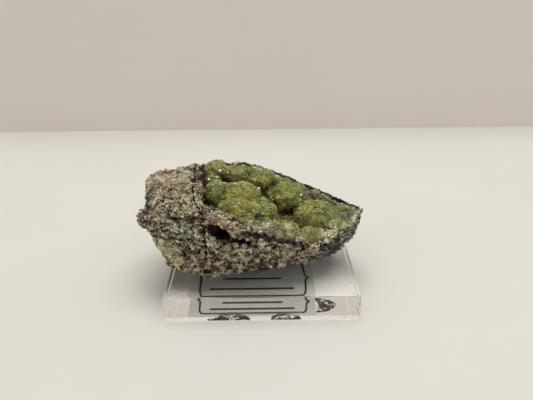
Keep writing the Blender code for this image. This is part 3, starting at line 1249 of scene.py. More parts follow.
@dataclass(frozen=True)
class AcrylicFinish(Finish):
    """Clear polished acrylic, with faint saw marks on its sides."""

    name: str = "clear_acrylic"
    ior: float = 1.49
    tint: Colour = (0.93, 0.93, 0.925)
    shade: Colour = (0.80, 0.80, 0.80)
    density: float = 4.0
    saw_mark: float = 1.1
    saw_stretch: tuple[float, float, float] = (1.0, 1.0, 0.08)
    saw_depth: float = 0.0035

    def wire(self, wiring: Wiring, shader: bpy.types.Node) -> None:
        """Sets plain transmission, and lets lamps' light through to what is below.

        Args:
            wiring: Adds nodes to the material.
            shader: The material's main shader.
        """
        tall = wiring.vector("MULTIPLY", wiring.place(), self.saw_stretch)
        marks = wiring.clouds(tall, size=self.saw_mark, spread=0.3)
        height = wiring.maths("MULTIPLY", marks, wiring.attribute(SAWN))
        inputs = {
            "Base Color": rgba((1.0, 1.0, 1.0)),
            "Roughness": 0.0,
            "IOR": self.ior,
            "Transmission Weight": 1.0,
            "Normal": wiring.bump(height, self.saw_depth),
        }
        wiring.fill(shader, inputs)
        ray = wiring.node("ShaderNodeLightPath").outputs
        open_way = wiring.node("ShaderNodeBsdfTransparent", {0: rgba(self.shade)})
        ways = {0: ray["Is Shadow Ray"], 1: shader.outputs[0], 2: open_way.outputs[0]}
        glass = wiring.node("ShaderNodeMixShader", ways)
        inner = {"Color": rgba(self.tint), "Density": self.density}
        body = wiring.node("ShaderNodeVolumeAbsorption", inner)
        output = next(node for node in wiring.tree.nodes if node.type == "OUTPUT_MATERIAL")
        wiring.fill(output, {"Surface": glass.outputs[0], "Volume": body.outputs[0]})


@dataclass(frozen=True)
class PuttyFinish(Finish):
    """Dull slate-grey mounting putty with dust pressed into it."""

    name: str = "slate_putty"
    dark: Colour = (0.040, 0.045, 0.056)
    light: Colour = (0.150, 0.160, 0.180)
    dust: Colour = (0.3, 0.3, 0.3)
    dust_gate: Span = (0.90, 0.98, 0.0, 0.5)

    def wire(self, wiring: Wiring, shader: bpy.types.Node) -> None:
        """Mottles the grey, and dents it finely.

        Args:
            wiring: Adds nodes to the material.
            shader: The material's main shader.
        """
        place = wiring.place()
        clouds = wiring.clouds(place, size=1.4)
        dust = wiring.effect(GRAINS, place=place, size=0.25, waver=0.5)
        fleck = wiring.between(dust.outputs["Tone"], *self.dust_gate)
        grey = wiring.tint(clouds, self.dark, self.light)
        inputs = {
            "Base Color": wiring.blend(fleck, grey, rgba(self.dust)),
            "Roughness": wiring.between(clouds, 0.0, 1.0, 0.65, 0.85),
            "Normal": wiring.bump(dust.outputs["Rise"], 0.02),
        }
        wiring.fill(shader, inputs)


@dataclass(frozen=True)
class PaintedFinish(Finish):
    """A plain matt surface of the studio, with a faint tooth."""

    name: str = "table_top"
    dark: Colour = (0.70, 0.682, 0.643)
    light: Colour = (0.74, 0.722, 0.683)

    def wire(self, wiring: Wiring, shader: bpy.types.Node) -> None:
        """Drifts between two near colours.

        Args:
            wiring: Adds nodes to the material.
            shader: The material's main shader.
        """
        place = wiring.place()
        drift = wiring.clouds(place, size=60.0, spread=0.25)
        tooth = wiring.clouds(place, size=0.6, spread=0.3)
        inputs = {
            "Base Color": wiring.blend(drift, rgba(self.dark), rgba(self.light)),
            "Roughness": wiring.between(tooth, 0.0, 1.0, 0.6, 0.7),
            "Normal": wiring.bump(tooth, 0.01),
            "Specular IOR Level": 0.3,
        }
        wiring.fill(shader, inputs)


# The painted-shadow streaks darken the seam, the dark ledge, the back rim, the cavity and the crack;
# the rusty ledge is a stain
SEAM = Streak(
    (
        (195.2, 166.0), (194.6, 181.0), (192.8, 189.0), (193.9, 199.3), (197.2, 207.0),
        (202.2, 216.0), (203.9, 228.0), (205.2, 240.0), (205.9, 251.5), (206.3, 263.0),
    ),
    0.24, Tone.PAINTED_SHADOW, strength=0.75, rise=-0.42,
)
RUSTY_LEDGE = Streak(
    ((207.0, 215.5), (218.0, 220.0), (227.0, 225.5), (236.0, 230.5), (243.0, 233.5)),
    0.7, Tone.RUST, rise=0.3,
)
DARK_LEDGE = Streak(
    ((243.0, 233.5), (264.0, 237.5), (284.0, 241.0), (301.0, 245.0)),
    0.95, Tone.PAINTED_SHADOW, strength=0.60,
)
BACK_RIM = Streak(
    ((238.0, 162.0), (256.0, 165.0), (280.0, 174.0), (304.0, 184.5), (330.0, 196.0), (356.0, 206.0)),
    0.8, Tone.PAINTED_SHADOW, strength=0.55,
)
CAVITY = Streak(((212.0, 229.0), (220.0, 233.5), (226.0, 236.0)), 1.05, Tone.PAINTED_SHADOW, rise=-1.6)
CRACK = Streak(
    ((226.0, 238.0), (234.0, 241.0), (242.0, 242.0), (250.0, 243.0)),
    0.4, Tone.PAINTED_SHADOW, strength=0.95, rise=-0.7,
)
PALE_RIM = Streak(
    ((356.0, 208.0), (355.0, 216.0), (353.0, 223.0), (348.0, 229.0)),
    0.4, Tone.CREAM, strength=0.8,
)
ROCK_STREAKS = (SEAM, RUSTY_LEDGE, DARK_LEDGE, BACK_RIM, CAVITY, CRACK)

ROCK_NUDGES = nudges(
    # The left end, from its top corner down
    (149.0, 176.0, 2.0, -1.5, 1.2), (154.0, 178.0, 2.2, -0.5, 0.5), (145.0, 200.0, 2.6, 0.4, 0.0),
    (142.5, 207.0, 1.6, 0.9, -2.2), (140.0, 224.0, 1.5, 0.2, 0.5), (152.0, 238.0, 2.6, 1.1, 0.3),
    (146.0, 230.0, 2.2, 0.1, 0.0), (158.0, 250.0, 2.6, 0.2, 0.1),
    # The right tip
    (358.0, 222.0, 2.0, 0.25, 0.0), (351.0, 238.0, 2.0, -0.35, 0.2), (346.0, 202.0, 2.4, 0.1, 0.8),
    (361.0, 210.0, 1.6, -0.4, -0.2),
    # The upper edge, from the right
    (320.0, 190.0, 2.0, 0.0, 0.3), (286.0, 175.0, 2.0, 0.0, -0.25), (246.0, 163.0, 2.2, 0.0, 0.4),
    (230.0, 163.0, 1.8, 0.0, -0.7), (199.0, 165.0, 2.4, 0.0, -0.8), (172.0, 168.0, 2.8, 0.0, -0.7),
    # The lower edge
    (151.0, 243.0, 2.0, 0.6, 0.2), (167.0, 264.0, 2.2, 0.3, 0.3), (301.0, 262.0, 2.4, 0.0, -0.6),
    (334.0, 250.0, 2.0, 0.2, -0.5), (200.0, 273.0, 3.0, 0.0, -0.5), (306.0, 262.0, 3.6, 0.0, -1.3),
    (328.0, 262.0, 3.0, 0.1, -0.5),
)
CRUST_NUDGES = nudges((216.0, 160.0, 2.6, 0.0, -0.7), (230.5, 164.0, 2.2, 0.0, -1.1))

SMOOTH_FACETS = (
    Patch(Tone.CREAM, (171.0, 187.0), 7.0, 5.4),
    Patch(Tone.MOSS, (166.0, 250.0), 3.4, 2.4, 0.6, lean=-45.0),
    Patch(Tone.SLATE, (354.0, 222.0), 3.0, 5.0, lean=-20.0),
)
ROCK_PATCHES = (
    *patches(
        Tone.CREAM,
        # The upper facet of the left block, and the foot below it
        (168.0, 181.0, 7.0, 4.6, 0.95), (169.0, 201.5, 2.2, 0.55, 0.9), (189.0, 264.0, 4.0, 2.2, 0.5),
        # Beside the hollow, and the front band
        (200.0, 205.0, 1.2, 1.5, 0.7, -45.0), (240.0, 250.0, 2.4, 0.8, 0.6),
        (232.0, 257.0, 7.0, 2.0, 0.42),
    ),
    *patches(
        Tone.RUST,
        (163.0, 173.0, 4.4, 1.5, 0.8, 6.0), (154.0, 182.5, 1.8, 1.1, 0.75),
        (178.0, 185.0, 4.6, 1.3, 0.8, -6.0), (176.0, 196.0, 3.6, 1.4, 0.7),
        (179.0, 212.5, 1.5, 0.8, 0.6), (167.5, 236.5, 0.7, 0.6, 0.75),
        # The front band
        (294.0, 260.0, 1.6, 0.7, 0.7), (315.0, 255.0, 1.3, 0.9, 0.5),
    ),
    *patches(
        Tone.PALE,
        (184.5, 173.5, 3.2, 2.3, 1.0), (163.0, 180.0, 1.3, 0.8, 0.6), (188.0, 198.5, 1.2, 1.2, 0.7),
        (166.0, 212.0, 4.4, 1.2, 0.5), (176.5, 224.0, 1.3, 0.9, 1.0, -30.0),
        (174.0, 230.0, 1.3, 0.8, 0.95, -20.0), (188.0, 234.5, 0.8, 1.0, 0.85),
        (195.0, 231.5, 1.2, 1.1, 0.6),
        # Around the cavity, and the front band
        (207.5, 231.0, 0.9, 1.1, 0.95), (212.0, 245.0, 1.5, 1.9, 0.85),
        (230.0, 236.0, 2.2, 0.7, 0.9, -20.0), (284.0, 250.0, 1.6, 1.2, 0.85),
        (253.0, 251.0, 1.3, 1.1, 0.75), (271.0, 256.0, 1.2, 1.1, 0.7),
        (305.0, 254.0, 1.3, 1.4, 0.75),
    ),
    *patches(
        Tone.MOSS,
        (186.5, 171.0, 0.8, 1.1, 1.0), (166.0, 248.0, 3.8, 2.6, 1.0, -45.0),
        (177.0, 260.0, 2.2, 2.0, 0.75), (201.5, 254.0, 0.8, 1.9, 0.75),
        (209.0, 205.0, 2.2, 1.4, 0.8, -45.0), (228.0, 248.0, 1.8, 0.8, 0.6),
    ),
    *patches(
        Tone.SLATE,
        (152.0, 193.0, 1.3, 2.8, 0.75), (150.0, 222.0, 3.6, 2.4, 0.55, -40.0),
        # Beside the hollow, and the right end of the band
        (200.5, 174.0, 1.8, 3.4, 1.0, -8.0), (330.0, 250.0, 6.5, 3.2, 1.0, 30.0),
        (352.0, 230.0, 2.4, 4.2, 0.8, -25.0),
    ),
    # Painted shadow in pores, beside the hollow and below the front band
    *patches(
        Tone.PAINTED_SHADOW,
        (171.5, 198.5, 0.6, 0.4, 0.9), (162.5, 201.0, 0.9, 0.5, 0.7), (138.0, 216.5, 1.0, 0.7, 0.6),
        (175.5, 218.5, 1.6, 0.5, 1.0), (182.0, 250.0, 1.0, 1.2, 0.35), (192.0, 258.0, 1.4, 1.6, 0.3),
        # Beside the hollow
        (204.0, 169.0, 1.3, 1.8, 0.75), (202.5, 179.0, 1.5, 3.2, 0.95, -12.0),
        (206.5, 192.0, 1.1, 2.2, 0.9, -25.0),
        # Below the front band, and its right end
        (222.0, 266.0, 5.0, 1.3, 0.35, -8.0), (262.0, 263.0, 5.0, 1.1, 0.40),
        (336.0, 248.0, 4.4, 1.6, 0.45, 30.0), (354.0, 227.0, 1.4, 3.4, 0.30, -25.0),
    ),
)
CRUST_PATCHES = (
    # The brightest swellings
    *patches(
        Tone.MOSS,
        (247.0, 199.0, 3.4, 3.2, 0.9), (236.0, 193.0, 3.8, 2.4, 0.7), (240.0, 212.0, 3.4, 1.9, 0.6),
        (216.0, 166.0, 2.6, 1.6, 0.55), (236.0, 172.0, 2.6, 1.4, 0.5), (258.0, 178.0, 3.0, 1.8, 0.55),
        (287.0, 196.0, 3.0, 2.4, 0.45), (306.0, 210.0, 3.2, 2.2, 0.55),
    ),
    # The shelf behind the front rim, and pale bits under the back rim
    *patches(
        Tone.CREAM,
        (228.0, 221.0, 1.6, 0.8, 0.6, -30.0), (249.5, 224.5, 0.7, 1.2, 1.0),
        (258.0, 228.0, 2.4, 0.7, 0.7), (268.0, 225.0, 1.8, 0.9, 0.9), (288.0, 227.0, 1.8, 1.8, 0.6),
        (300.0, 238.0, 1.5, 0.8, 0.75), (325.0, 234.0, 3.0, 1.2, 0.9, 12.0),
        (332.0, 225.0, 1.4, 1.4, 0.7), (345.0, 226.0, 1.0, 1.0, 0.8), (277.0, 176.5, 1.0, 0.5, 0.9),
        (260.0, 171.0, 1.4, 0.4, 0.6), (310.0, 189.5, 0.8, 0.5, 0.8),
    ),
    *patches(Tone.RUST, (288.5, 233.5, 0.8, 0.9, 0.7)),
    # Grey and greyer green on the shelf, at the right end and at the back
    *patches(Tone.PALE, (272.0, 228.0, 6.0, 1.8, 0.8, -10.0), (346.0, 214.0, 2.6, 2.6, 1.0)),
    *patches(
        Tone.SLATE,
        (312.0, 194.0, 4.2, 2.0, 1.0, -24.0), (336.0, 203.0, 4.4, 1.4, 0.95, -20.0),
        (295.0, 184.0, 2.6, 1.0, 0.6, -20.0),
    ),
    # Painted shadow in the clefts between the swellings
    *patches(
        Tone.PAINTED_SHADOW,
        (287.0, 213.0, 3.6, 1.5, 1.0), (259.5, 217.5, 1.7, 1.3, 0.95), (228.0, 180.5, 2.0, 1.1, 0.75),
        (265.0, 189.0, 1.6, 0.9, 0.9), (276.0, 204.0, 1.0, 1.2, 0.7),
        (204.0, 192.0, 1.1, 2.4, 1.0, -20.0), (224.0, 190.0, 0.6, 1.2, 0.6),
    ),
)


@dataclass
class Rock:
    """The gossan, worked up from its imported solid."""

    node: str = "matrix"
    voxel: float = 0.29
    relax_rounds: int = 2
    waves: tuple[Lumps, ...] = (
        Lumps(5.5, 0.30, 6.4),
        Lumps(2.3, 0.38, 8.1),
        Lumps(1.15, 0.36, 3.6),
        Lumps(0.62, 0.30, 5.2),
    )
    chip: Lumps = Lumps(2.6, 0.24, 11.3)
    chip_slope: float = 2.5
    chip_middle: float = 0.8
    cleft: Lumps = Lumps(2.1, 0.34, 7.7)
    cleft_width: float = 0.07
    pore: Lumps = Lumps(1.1, 0.8, 2.9)
    pore_gate: tuple[float, float] = (0.22, 0.42)
    rim_calm: float = 0.55
    rim_reach: float = 2.5
    facet_calm: float = 0.6
    facet_gain: float = 1.5
    pit_rounds: int = 10
    least_height: float = 6.95

    def heights(self, skin: Skin) -> Array:
        """Works out the broken surface.

        Args:
            skin: The rock's skin.

        Returns:
            How far the surface stands in or out at each point, in millimetres.
        """
        places = skin.places * np.array(BEDDING)
        total = np.zeros(len(places))
        for wave in self.waves:
            total += wave.heights(places)
        _, margin, pick = self.chip.cells(places)
        chips = np.minimum(margin * self.chip_slope, 1.0) - self.chip_middle + pick - 0.5
        total += self.chip.height * chips
        folds = self.cleft.pattern(places) / self.cleft_width
        total -= self.cleft.height * np.exp(-(folds**2))
        low, high = self.pore_gate
        holes = np.clip((self.pore.pattern(places) - low) / (high - low), 0, 1)
        return total - self.pore.height * holes

    def calm(self, skin: Skin) -> Array:
        """Works out where the surface is less broken, at the back rim and on smooth facets.

        Args:
            skin: The rock's skin.

        Returns:
            The share of the relief that is left out at each point.
        """
        tree = skin.tree()
        rim = BACK_RIM.distance(skin.places, tree) / self.rim_reach
        calm = self.rim_calm * np.exp(-(rim**2))
        for facet in SMOOTH_FACETS:
            smooth = facet.mask(skin.places, tree) * self.facet_gain
            calm = np.maximum(calm, np.minimum(smooth, self.facet_calm))
        return calm

    def build(self) -> tuple[bpy.types.Object, Skin, dict[Tone, Array]]:
        """Makes the rock's piece.

        Returns:
            The piece, its skin and its tone masks.
        """
        piece = voxel_copy(self.node, "rock", self.voxel)
        skin = Skin(piece)
        skin.relax(self.relax_rounds)
        skin.places = nudged(skin.places, ROCK_NUDGES, skin.tree())
        skin.push(self.heights(skin) * (1.0 - self.calm(skin)))
        tree = skin.tree()
        for streak in ROCK_STREAKS:
            reach = streak.distance(skin.places, tree)
            skin.push(streak.rise * np.exp(-(reach**2)))
        skin.places[:, 2] = np.maximum(skin.places[:, 2], self.least_height)
        masks = skin.stain(skin.depth_below(self.pit_rounds), ROCK_PATCHES, ROCK_STREAKS)
        GossanFinish().put_on(piece, "matrix")
        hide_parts(self.node)
        return piece, skin, masks


@dataclass
class Crust:
    """The smithsonite crust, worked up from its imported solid."""

    node: str = "smithsonite_crust"
    voxel: float = 0.21
    relax_rounds: int = 6
    swell: float = 0.25
    waves: tuple[Lumps, ...] = (
        Lumps(2.8, 0.66, 3.3),
        Lumps(1.3, 0.46, 9.2),
        Lumps(0.62, 0.24, 5.6),
    )
    knobs: Lumps = Lumps(1.0, 0.18, 2.2)
    knob_middle: float = 0.75
    knob_gains: tuple[float, float] = (1.6, 0.5)
    pit_rounds: int = 24
    valley_rounds: int = 160
    valley_most: float = 1.8
    valley_soft: int = 12
    valley_shade: float = 0.35
    gap_depth: float = 0.55
    gap_gain: float = 2.0

    def build(self) -> tuple[bpy.types.Object, Skin, dict[Tone, Array]]:
        """Makes the crust's piece.

        Returns:
            The piece, its skin and its tone masks.
        """
        piece = voxel_copy(self.node, "druse_crust", self.voxel)
        skin = Skin(piece)
        skin.relax(self.relax_rounds)
        skin.places = nudged(skin.places, CRUST_NUDGES, skin.tree())
        gaps = tone_masks(skin.places, CRUST_PATCHES, (), skin.tree())[Tone.PAINTED_SHADOW]
        valleys = np.clip(skin.depth_below(2 * self.valley_rounds), 0.0, self.valley_most)
        filling = valleys * (1.0 - gaps)
        skin.push(skin.smoothed(filling[:, None], self.valley_soft)[:, 0])
        facing = np.clip(-skin.normals() @ VIEW.axes()[2] * self.gap_gain, 0.0, 1.0)
        total = self.swell - self.gap_depth * gaps * facing
        for wave in self.waves:
            total += wave.heights(skin.places)
        nearest, _, pick = self.knobs.cells(skin.places)
        dome = np.sqrt(np.clip(1.0 - nearest**2, 0.0, 1.0)) - self.knob_middle
        dome_gain, pick_gain = self.knob_gains
        total += self.knobs.height * (dome_gain * dome + pick_gain * (pick - 0.5))
        skin.push(total)
        # The pit depth that the materials paint as shade, deepened in the valleys between the swellings
        depth = skin.depth_below(self.pit_rounds)
        depth = depth + self.valley_shade * skin.depth_below(self.valley_rounds)
        masks = skin.stain(depth, CRUST_PATCHES, (PALE_RIM,))
        DruseFinish().put_on(piece, "smithsonite_crust")
        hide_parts(self.node)
        return piece, skin, masks


@dataclass(frozen=True)
class Scatter:
    """Small solid bodies strewn over a surface, all in one mesh."""

    name: str
    count: int
    least: float
    most: float
    seed: int
    sink: float = 0.25
    stretch: tuple[float, float, float] = (1.0, 0.85, 0.7)
    jitter: float = 0.22
    faces: tuple[tuple[int, ...], ...] = (
        (0, 2, 3, 1), (4, 5, 7, 6), (0, 1, 5, 4), (2, 6, 7, 3), (0, 4, 6, 2), (1, 3, 7, 5),
    )

    def corners(self) -> Array:
        """The eight corners of a plain grain, from -1 to 1."""
        return np.array([(x, y, z) for z in (-1, 1) for y in (-1, 1) for x in (-1, 1)], float)

    def turns(self, draw: np.random.Generator) -> Array:
        """Draws a random rotation for each body.

        Args:
            draw: The source of random numbers.

        Returns:
            One matrix for each body.
        """
        quaternions = draw.normal(size=(self.count, 4))
        quaternions /= np.linalg.norm(quaternions, axis=1)[:, None]
        w, x, y, z = quaternions.T
        rows = [
            [1 - 2 * (y * y + z * z), 2 * (x * y - z * w), 2 * (x * z + y * w)],
            [2 * (x * y + z * w), 1 - 2 * (x * x + z * z), 2 * (y * z - x * w)],
            [2 * (x * z - y * w), 2 * (y * z + x * w), 1 - 2 * (x * x + y * y)],
        ]
        return np.moveaxis(np.array(rows), 2, 0)

    def build(
        self, skin: Skin, weights: Array, scale: Array, carried: Mapping[str, Array]
    ) -> bpy.types.Object:
        """Strews the bodies over a skin.

        Args:
            skin: The surface.
            weights: How likely each point of the skin is to get one.
            scale: How large the bodies are at each point, as a factor.
            carried: Values of the skin that each body takes from the point it stands on.

        Returns:
            The new piece.
        """
        draw = np.random.default_rng(self.seed)
        normals = skin.normals()
        chosen = draw.choice(len(weights), self.count, replace=False, p=weights / weights.sum())
        size = draw.uniform(self.least, self.most, self.count) * scale[chosen] / 2
        turns = self.turns(draw)
        shape = self.corners()[None] * np.array(self.stretch)
        shape = shape * (1 + draw.uniform(-self.jitter, self.jitter, (self.count, 8, 3)))
        shape = np.einsum("nij,nkj->nki", turns, shape) * size[:, None, None]
        middles = skin.places[chosen] + normals[chosen] * (size * (1 - 2 * self.sink))[:, None]
        places = (shape + middles[:, None]).reshape(-1, 3)
        faces = (np.array(self.faces)[None] + 8 * np.arange(self.count)[:, None, None]).reshape(-1, 4)
        mesh = bpy.data.meshes.new(self.name)
        mesh.from_pydata((places * MM).tolist(), [], faces.tolist())
        piece = link(bpy.data.objects.new(self.name, mesh))
        paint(piece, GRAIN, np.repeat(draw.random(self.count), 8))
        for name, values in carried.items():
            paint(piece, name, np.repeat(values[chosen], 8))
        return piece


@dataclass
class LooseGrains:
    """Grains and crumbs that stand on the rock's broken faces, and not in its painted shadow."""

    scatter: Scatter = Scatter("rock_grains", 12000, 0.16, 0.40, seed=17, sink=0.3)
    upward: float = 0.75
    least_weight: float = 0.15
    painted_shadow_loss: float = 0.95
    hollow_gap: float = 1.2

    def build(self, skin: Skin, masks: Mapping[Tone, Array], hollow: BVHTree) -> bpy.types.Object:
        """Strews the grains.

        Args:
            skin: The rock's skin.
            masks: The rock's tone masks.
            hollow: The crust, which no grain stands under.

        Returns:
            The new piece.
        """
        weights = np.clip(skin.normals()[:, 2] + self.upward, self.least_weight, 1.0)
        weights *= 1.0 - self.painted_shadow_loss * np.minimum(masks[Tone.PAINTED_SHADOW] * 2.0, 1.0)
        weights *= clear_of(hollow, skin.places, self.hollow_gap)
        carried = {tone.value: mask for tone, mask in masks.items()}
        piece = self.scatter.build(skin, weights, np.ones(len(weights)), carried)
        GrainFinish().put_on(piece, "matrix")
        return piece


@dataclass
class Crystals:
    """Small crystals that stand on the crust and give it its sugary sparkle."""

    scatter: Scatter = Scatter(
        "druse_crystals", 12000, 0.20, 0.42, seed=29, sink=0.3, stretch=(1.0, 0.9, 0.8), jitter=0.1
    )
    upward: float = 0.35
    painted_shadow_loss: float = 0.8
    cream_growth: float = 0.5
    pit_rounds: int = 26

    def build(self, skin: Skin, masks: Mapping[Tone, Array]) -> bpy.types.Object:
        """Strews the crystals.

        Args:
            skin: The crust's skin.
            masks: The crust's tone masks.

        Returns:
            The new piece.
        """
        weights = np.clip(skin.normals()[:, 2] + self.upward, 0.0, 1.0)
        weights *= 1.0 - self.painted_shadow_loss * masks[Tone.PAINTED_SHADOW]
        scale = 1.0 + self.cream_growth * masks[Tone.CREAM]
        carried = {tone.value: mask for tone, mask in masks.items()}
        # The pit depth that the crystals' material paints as shade
        carried[PIT] = skin.depth_below(self.pit_rounds)
        piece = self.scatter.build(skin, weights, scale, carried)
        CrystalFinish().put_on(piece, "smithsonite_crust")
        return piece


@dataclass
class Glints:
    """The white crystals on the crust, at given pixels; their white is a painted highlight where the
    crust glints.
    """

    pixels: tuple[Pixel, ...] = (
        (209.5, 180.0), (217.0, 177.5), (220.0, 171.0), (226.5, 172.0), (229.0, 179.5), (235.0, 184.0),
        (258.0, 189.0), (271.5, 197.0), (276.0, 208.0), (300.5, 195.0), (300.0, 200.0), (300.0, 208.5),
        (229.0, 219.5), (246.0, 225.0), (262.0, 213.5), (336.0, 227.5),
    )
    least: float = 0.40
    most: float = 0.62
    seed: int = 5

    def build(self, skin: Skin) -> bpy.types.Object:
        """Stands one crystal at each pixel's place on the crust.

        Args:
            skin: The crust's skin.

        Returns:
            The new piece.
        """
        tree = skin.tree()
        weights = np.zeros(len(skin.places))
        for pixel in self.pixels:
            offset = skin.places - hit(tree, pixel)
            weights[np.argmin(np.sum(offset**2, axis=1))] = 1.0
        scatter = Scatter("glint_crystals", int(weights.sum()), self.least, self.most, self.seed)
        piece = scatter.build(skin, weights, np.ones(len(weights)), {})
        GlintFinish().put_on(piece, "smithsonite_crust")
        return piece


@dataclass
class ClearBlock:
    """The square acrylic block, with its edges broken."""

    node: str = "acrylic_base"
    edge_break: float = 0.15
    edge_steps: int = 3

    def build(self) -> bpy.types.Object:
        """Makes the block's piece.

        Returns:
            The new piece.
        """
        low, high = (np.array(corner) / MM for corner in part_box(self.node))
        bm = bmesh.new()
        bmesh.ops.create_cube(bm, size=1.0)
        bmesh.ops.scale(bm, vec=high - low, verts=bm.verts)
        bmesh.ops.translate(bm, vec=(low + high) / 2, verts=bm.verts)
        bmesh.ops.bevel(
            bm,
            geom=bm.edges[:],
            offset=self.edge_break,
            offset_type="OFFSET",
            segments=self.edge_steps,
            profile=0.5,
            affect="EDGES",
        )
        piece = object_from("clear_block", bm)
        middle = (low[2] + high[2]) / 2
        reach = (high[2] - low[2]) / 2
        heights = np.array([vertex.co.z / MM for vertex in piece.data.vertices])
        paint(piece, SAWN, (np.abs(heights - middle) < reach - self.edge_break / 2).astype(float))
        AcrylicFinish().put_on(piece, "acrylic_base")
        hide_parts(self.node)
        return piece


@dataclass
class PrintedFilm:
    """The label: clear film stuck under the block, printed with a bracketed border."""

    node: str = "film_label"
    film_level: float = 0.06
    ink_level: float = 0.12
    thickness: float = 0.03
    corner: float = 1.0
    corner_steps: int = 5
    line_width: float = 0.46
    rule_width: float = 0.62
    left: float = -14.1
    right: float = 9.7
    front: float = -17.6
    back: float = -3.6
    bracket: float = 0.9
    bracket_slope: float = 9
    bow: float = 0.8
    bow_power: int = 6
    side_steps: int = 32
    left_shift: float = 0.32
    # Each rule's left end, right end and place in depth
    rules: tuple[tuple[float, float, float], ...] = (
        (-12.4, 7.6, -14.9),
        (-9.6, 4.9, -10.9),
        (-6.4, 1.8, -6.9),
    )

    def plate(self, bm: bmesh.types.BMesh, outline: Sequence[Pixel], level: float) -> None:
        """Adds a thin flat plate.

        Args:
            bm: The shape that it is added to.
            outline: Its corners, in millimetres.
            level: The height of its underside.
        """
        levels = (level, level + self.thickness)
        lower, upper = ([bm.verts.new((x, y, z)) for x, y in outline] for z in levels)
        bm.faces.new(reversed(lower))
        bm.faces.new(upper)
        for i in range(len(outline)):
            j = (i + 1) % len(outline)
            bm.faces.new((lower[i], lower[j], upper[j], upper[i]))

    def film(self) -> bpy.types.Object:
        """The sheet with rounded corners."""
        low, high = (np.array(corner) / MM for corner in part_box(self.node))
        outline = []
        for x, y, start in (
            (high[0], high[1], 0),
            (low[0], high[1], 90),
            (low[0], low[1], 180),
            (high[0], low[1], 270),
        ):
            middle_x = x - math.copysign(self.corner, x - (low[0] + high[0]) / 2)
            middle_y = y - math.copysign(self.corner, y - (low[1] + high[1]) / 2)
            for step in range(self.corner_steps + 1):
                angle = math.radians(start + 90 * step / self.corner_steps)
                across, upward = self.corner * math.cos(angle), self.corner * math.sin(angle)
                outline.append((middle_x + across, middle_y + upward))
        bm = bmesh.new()
        self.plate(bm, outline, self.film_level)
        return object_from("label_film", bm)

    def border(self) -> list[Pixel]:
        """The middle of the printed border's line, with a bracket's point on each side."""
        middle = (self.front + self.back) / 2
        half = (self.back - self.front) / 2
        points = []
        for end, side, shift in ((self.right, 1, 0.0), (self.left, -1, -self.left_shift)):
            for step in range(self.side_steps + 1):
                share = -1 + 2 * step / self.side_steps
                point = self.bracket * math.exp(-abs(share - shift) * self.bracket_slope)
                out = point + self.bow * (1 - share**self.bow_power)
                points.append((end + side * out, middle + side * share * half))
        return points

    def closed_line(self, bm: bmesh.types.BMesh, points: Sequence[Pixel]) -> None:
        """Adds a closed ribbon of the line's width.

        Args:
            bm: The shape that it is added to.
            points: The places that its middle runs through.
        """
        rows = []
        count = len(points)
        low, top = self.ink_level, self.ink_level + self.thickness
        for i in range(count):
            before, here, after = (np.array(points[k % count]) for k in (i - 1, i, i + 1))
            along = (after - before) / np.linalg.norm(after - before)
            side = np.array((along[1], -along[0])) * self.line_width / 2
            corners = ((here - side, low), (here + side, low), (here + side, top), (here - side, top))
            rows.append([bm.verts.new((*place, level)) for place, level in corners])
        for i in range(count):
            first, second = rows[i], rows[(i + 1) % count]
            for k in range(4):
                n = (k + 1) % 4
                bm.faces.new((first[k], first[n], second[n], second[k]))

    def ink(self) -> bpy.types.Object:
        """The printed lines: the closed border, and the rules inside it."""
        bm = bmesh.new()
        self.closed_line(bm, self.border())
        for start, end, y in self.rules:
            half = self.rule_width / 2
            outline = ((start, y - half), (end, y - half), (end, y + half), (start, y + half))
            self.plate(bm, outline, self.ink_level)
        return object_from("label_print", bm)

    def build(self) -> tuple[bpy.types.Object, bpy.types.Object]:
        """Makes the film and its print.

        Returns:
            The two pieces.
        """
        film, ink = self.film(), self.ink()
        FilmFinish().put_on(film, "film_label")
        InkFinish().put_on(ink, "film_label")
        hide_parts(self.node)
        return film, ink


@dataclass
class Putty:
    """The lumps of putty, pressed against the block and the rock."""

    names: tuple[str, ...] = ("left", "middle", "right")
    voxel: float = 0.22
    relax_rounds: int = 3
    swell: float = 0.3
    dents: Lumps = Lumps(2.0, 0.50, 1.9)
    prints: tuple[Lumps, ...] = (Lumps(2.6, 0.22, 6.6), Lumps(0.5, 0.30, 1.7))
    press: float = 0.05
    foot: float = 6.57

    def build(self) -> list[bpy.types.Object]:
        """Makes one piece for each lump.

        Returns:
            The new pieces.
        """
        pieces = []
        for name in self.names:
            node = "putty_pad_" + name
            piece = voxel_copy(node, "putty_" + name, self.voxel)
            skin = Skin(piece)
            skin.relax(self.relax_rounds)
            bottom = skin.places[:, 2].min()
            skin.push(self.swell + self.dents.heights(skin.places))
            resting = skin.places[:, 2] < bottom + self.swell
            flat = skin.places[resting] * np.array((1.0, 1.0, 0.0))
            gaps = sum(mark.heights(flat) for mark in self.prints)
            skin.places[resting, 2] = self.foot + np.clip(gaps - self.press, 0.0, 1.0)
            skin.write()
            piece.data.shade_smooth()
            PuttyFinish().put_on(piece, "putty")
            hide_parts(node)
            pieces.append(piece)
        return pieces


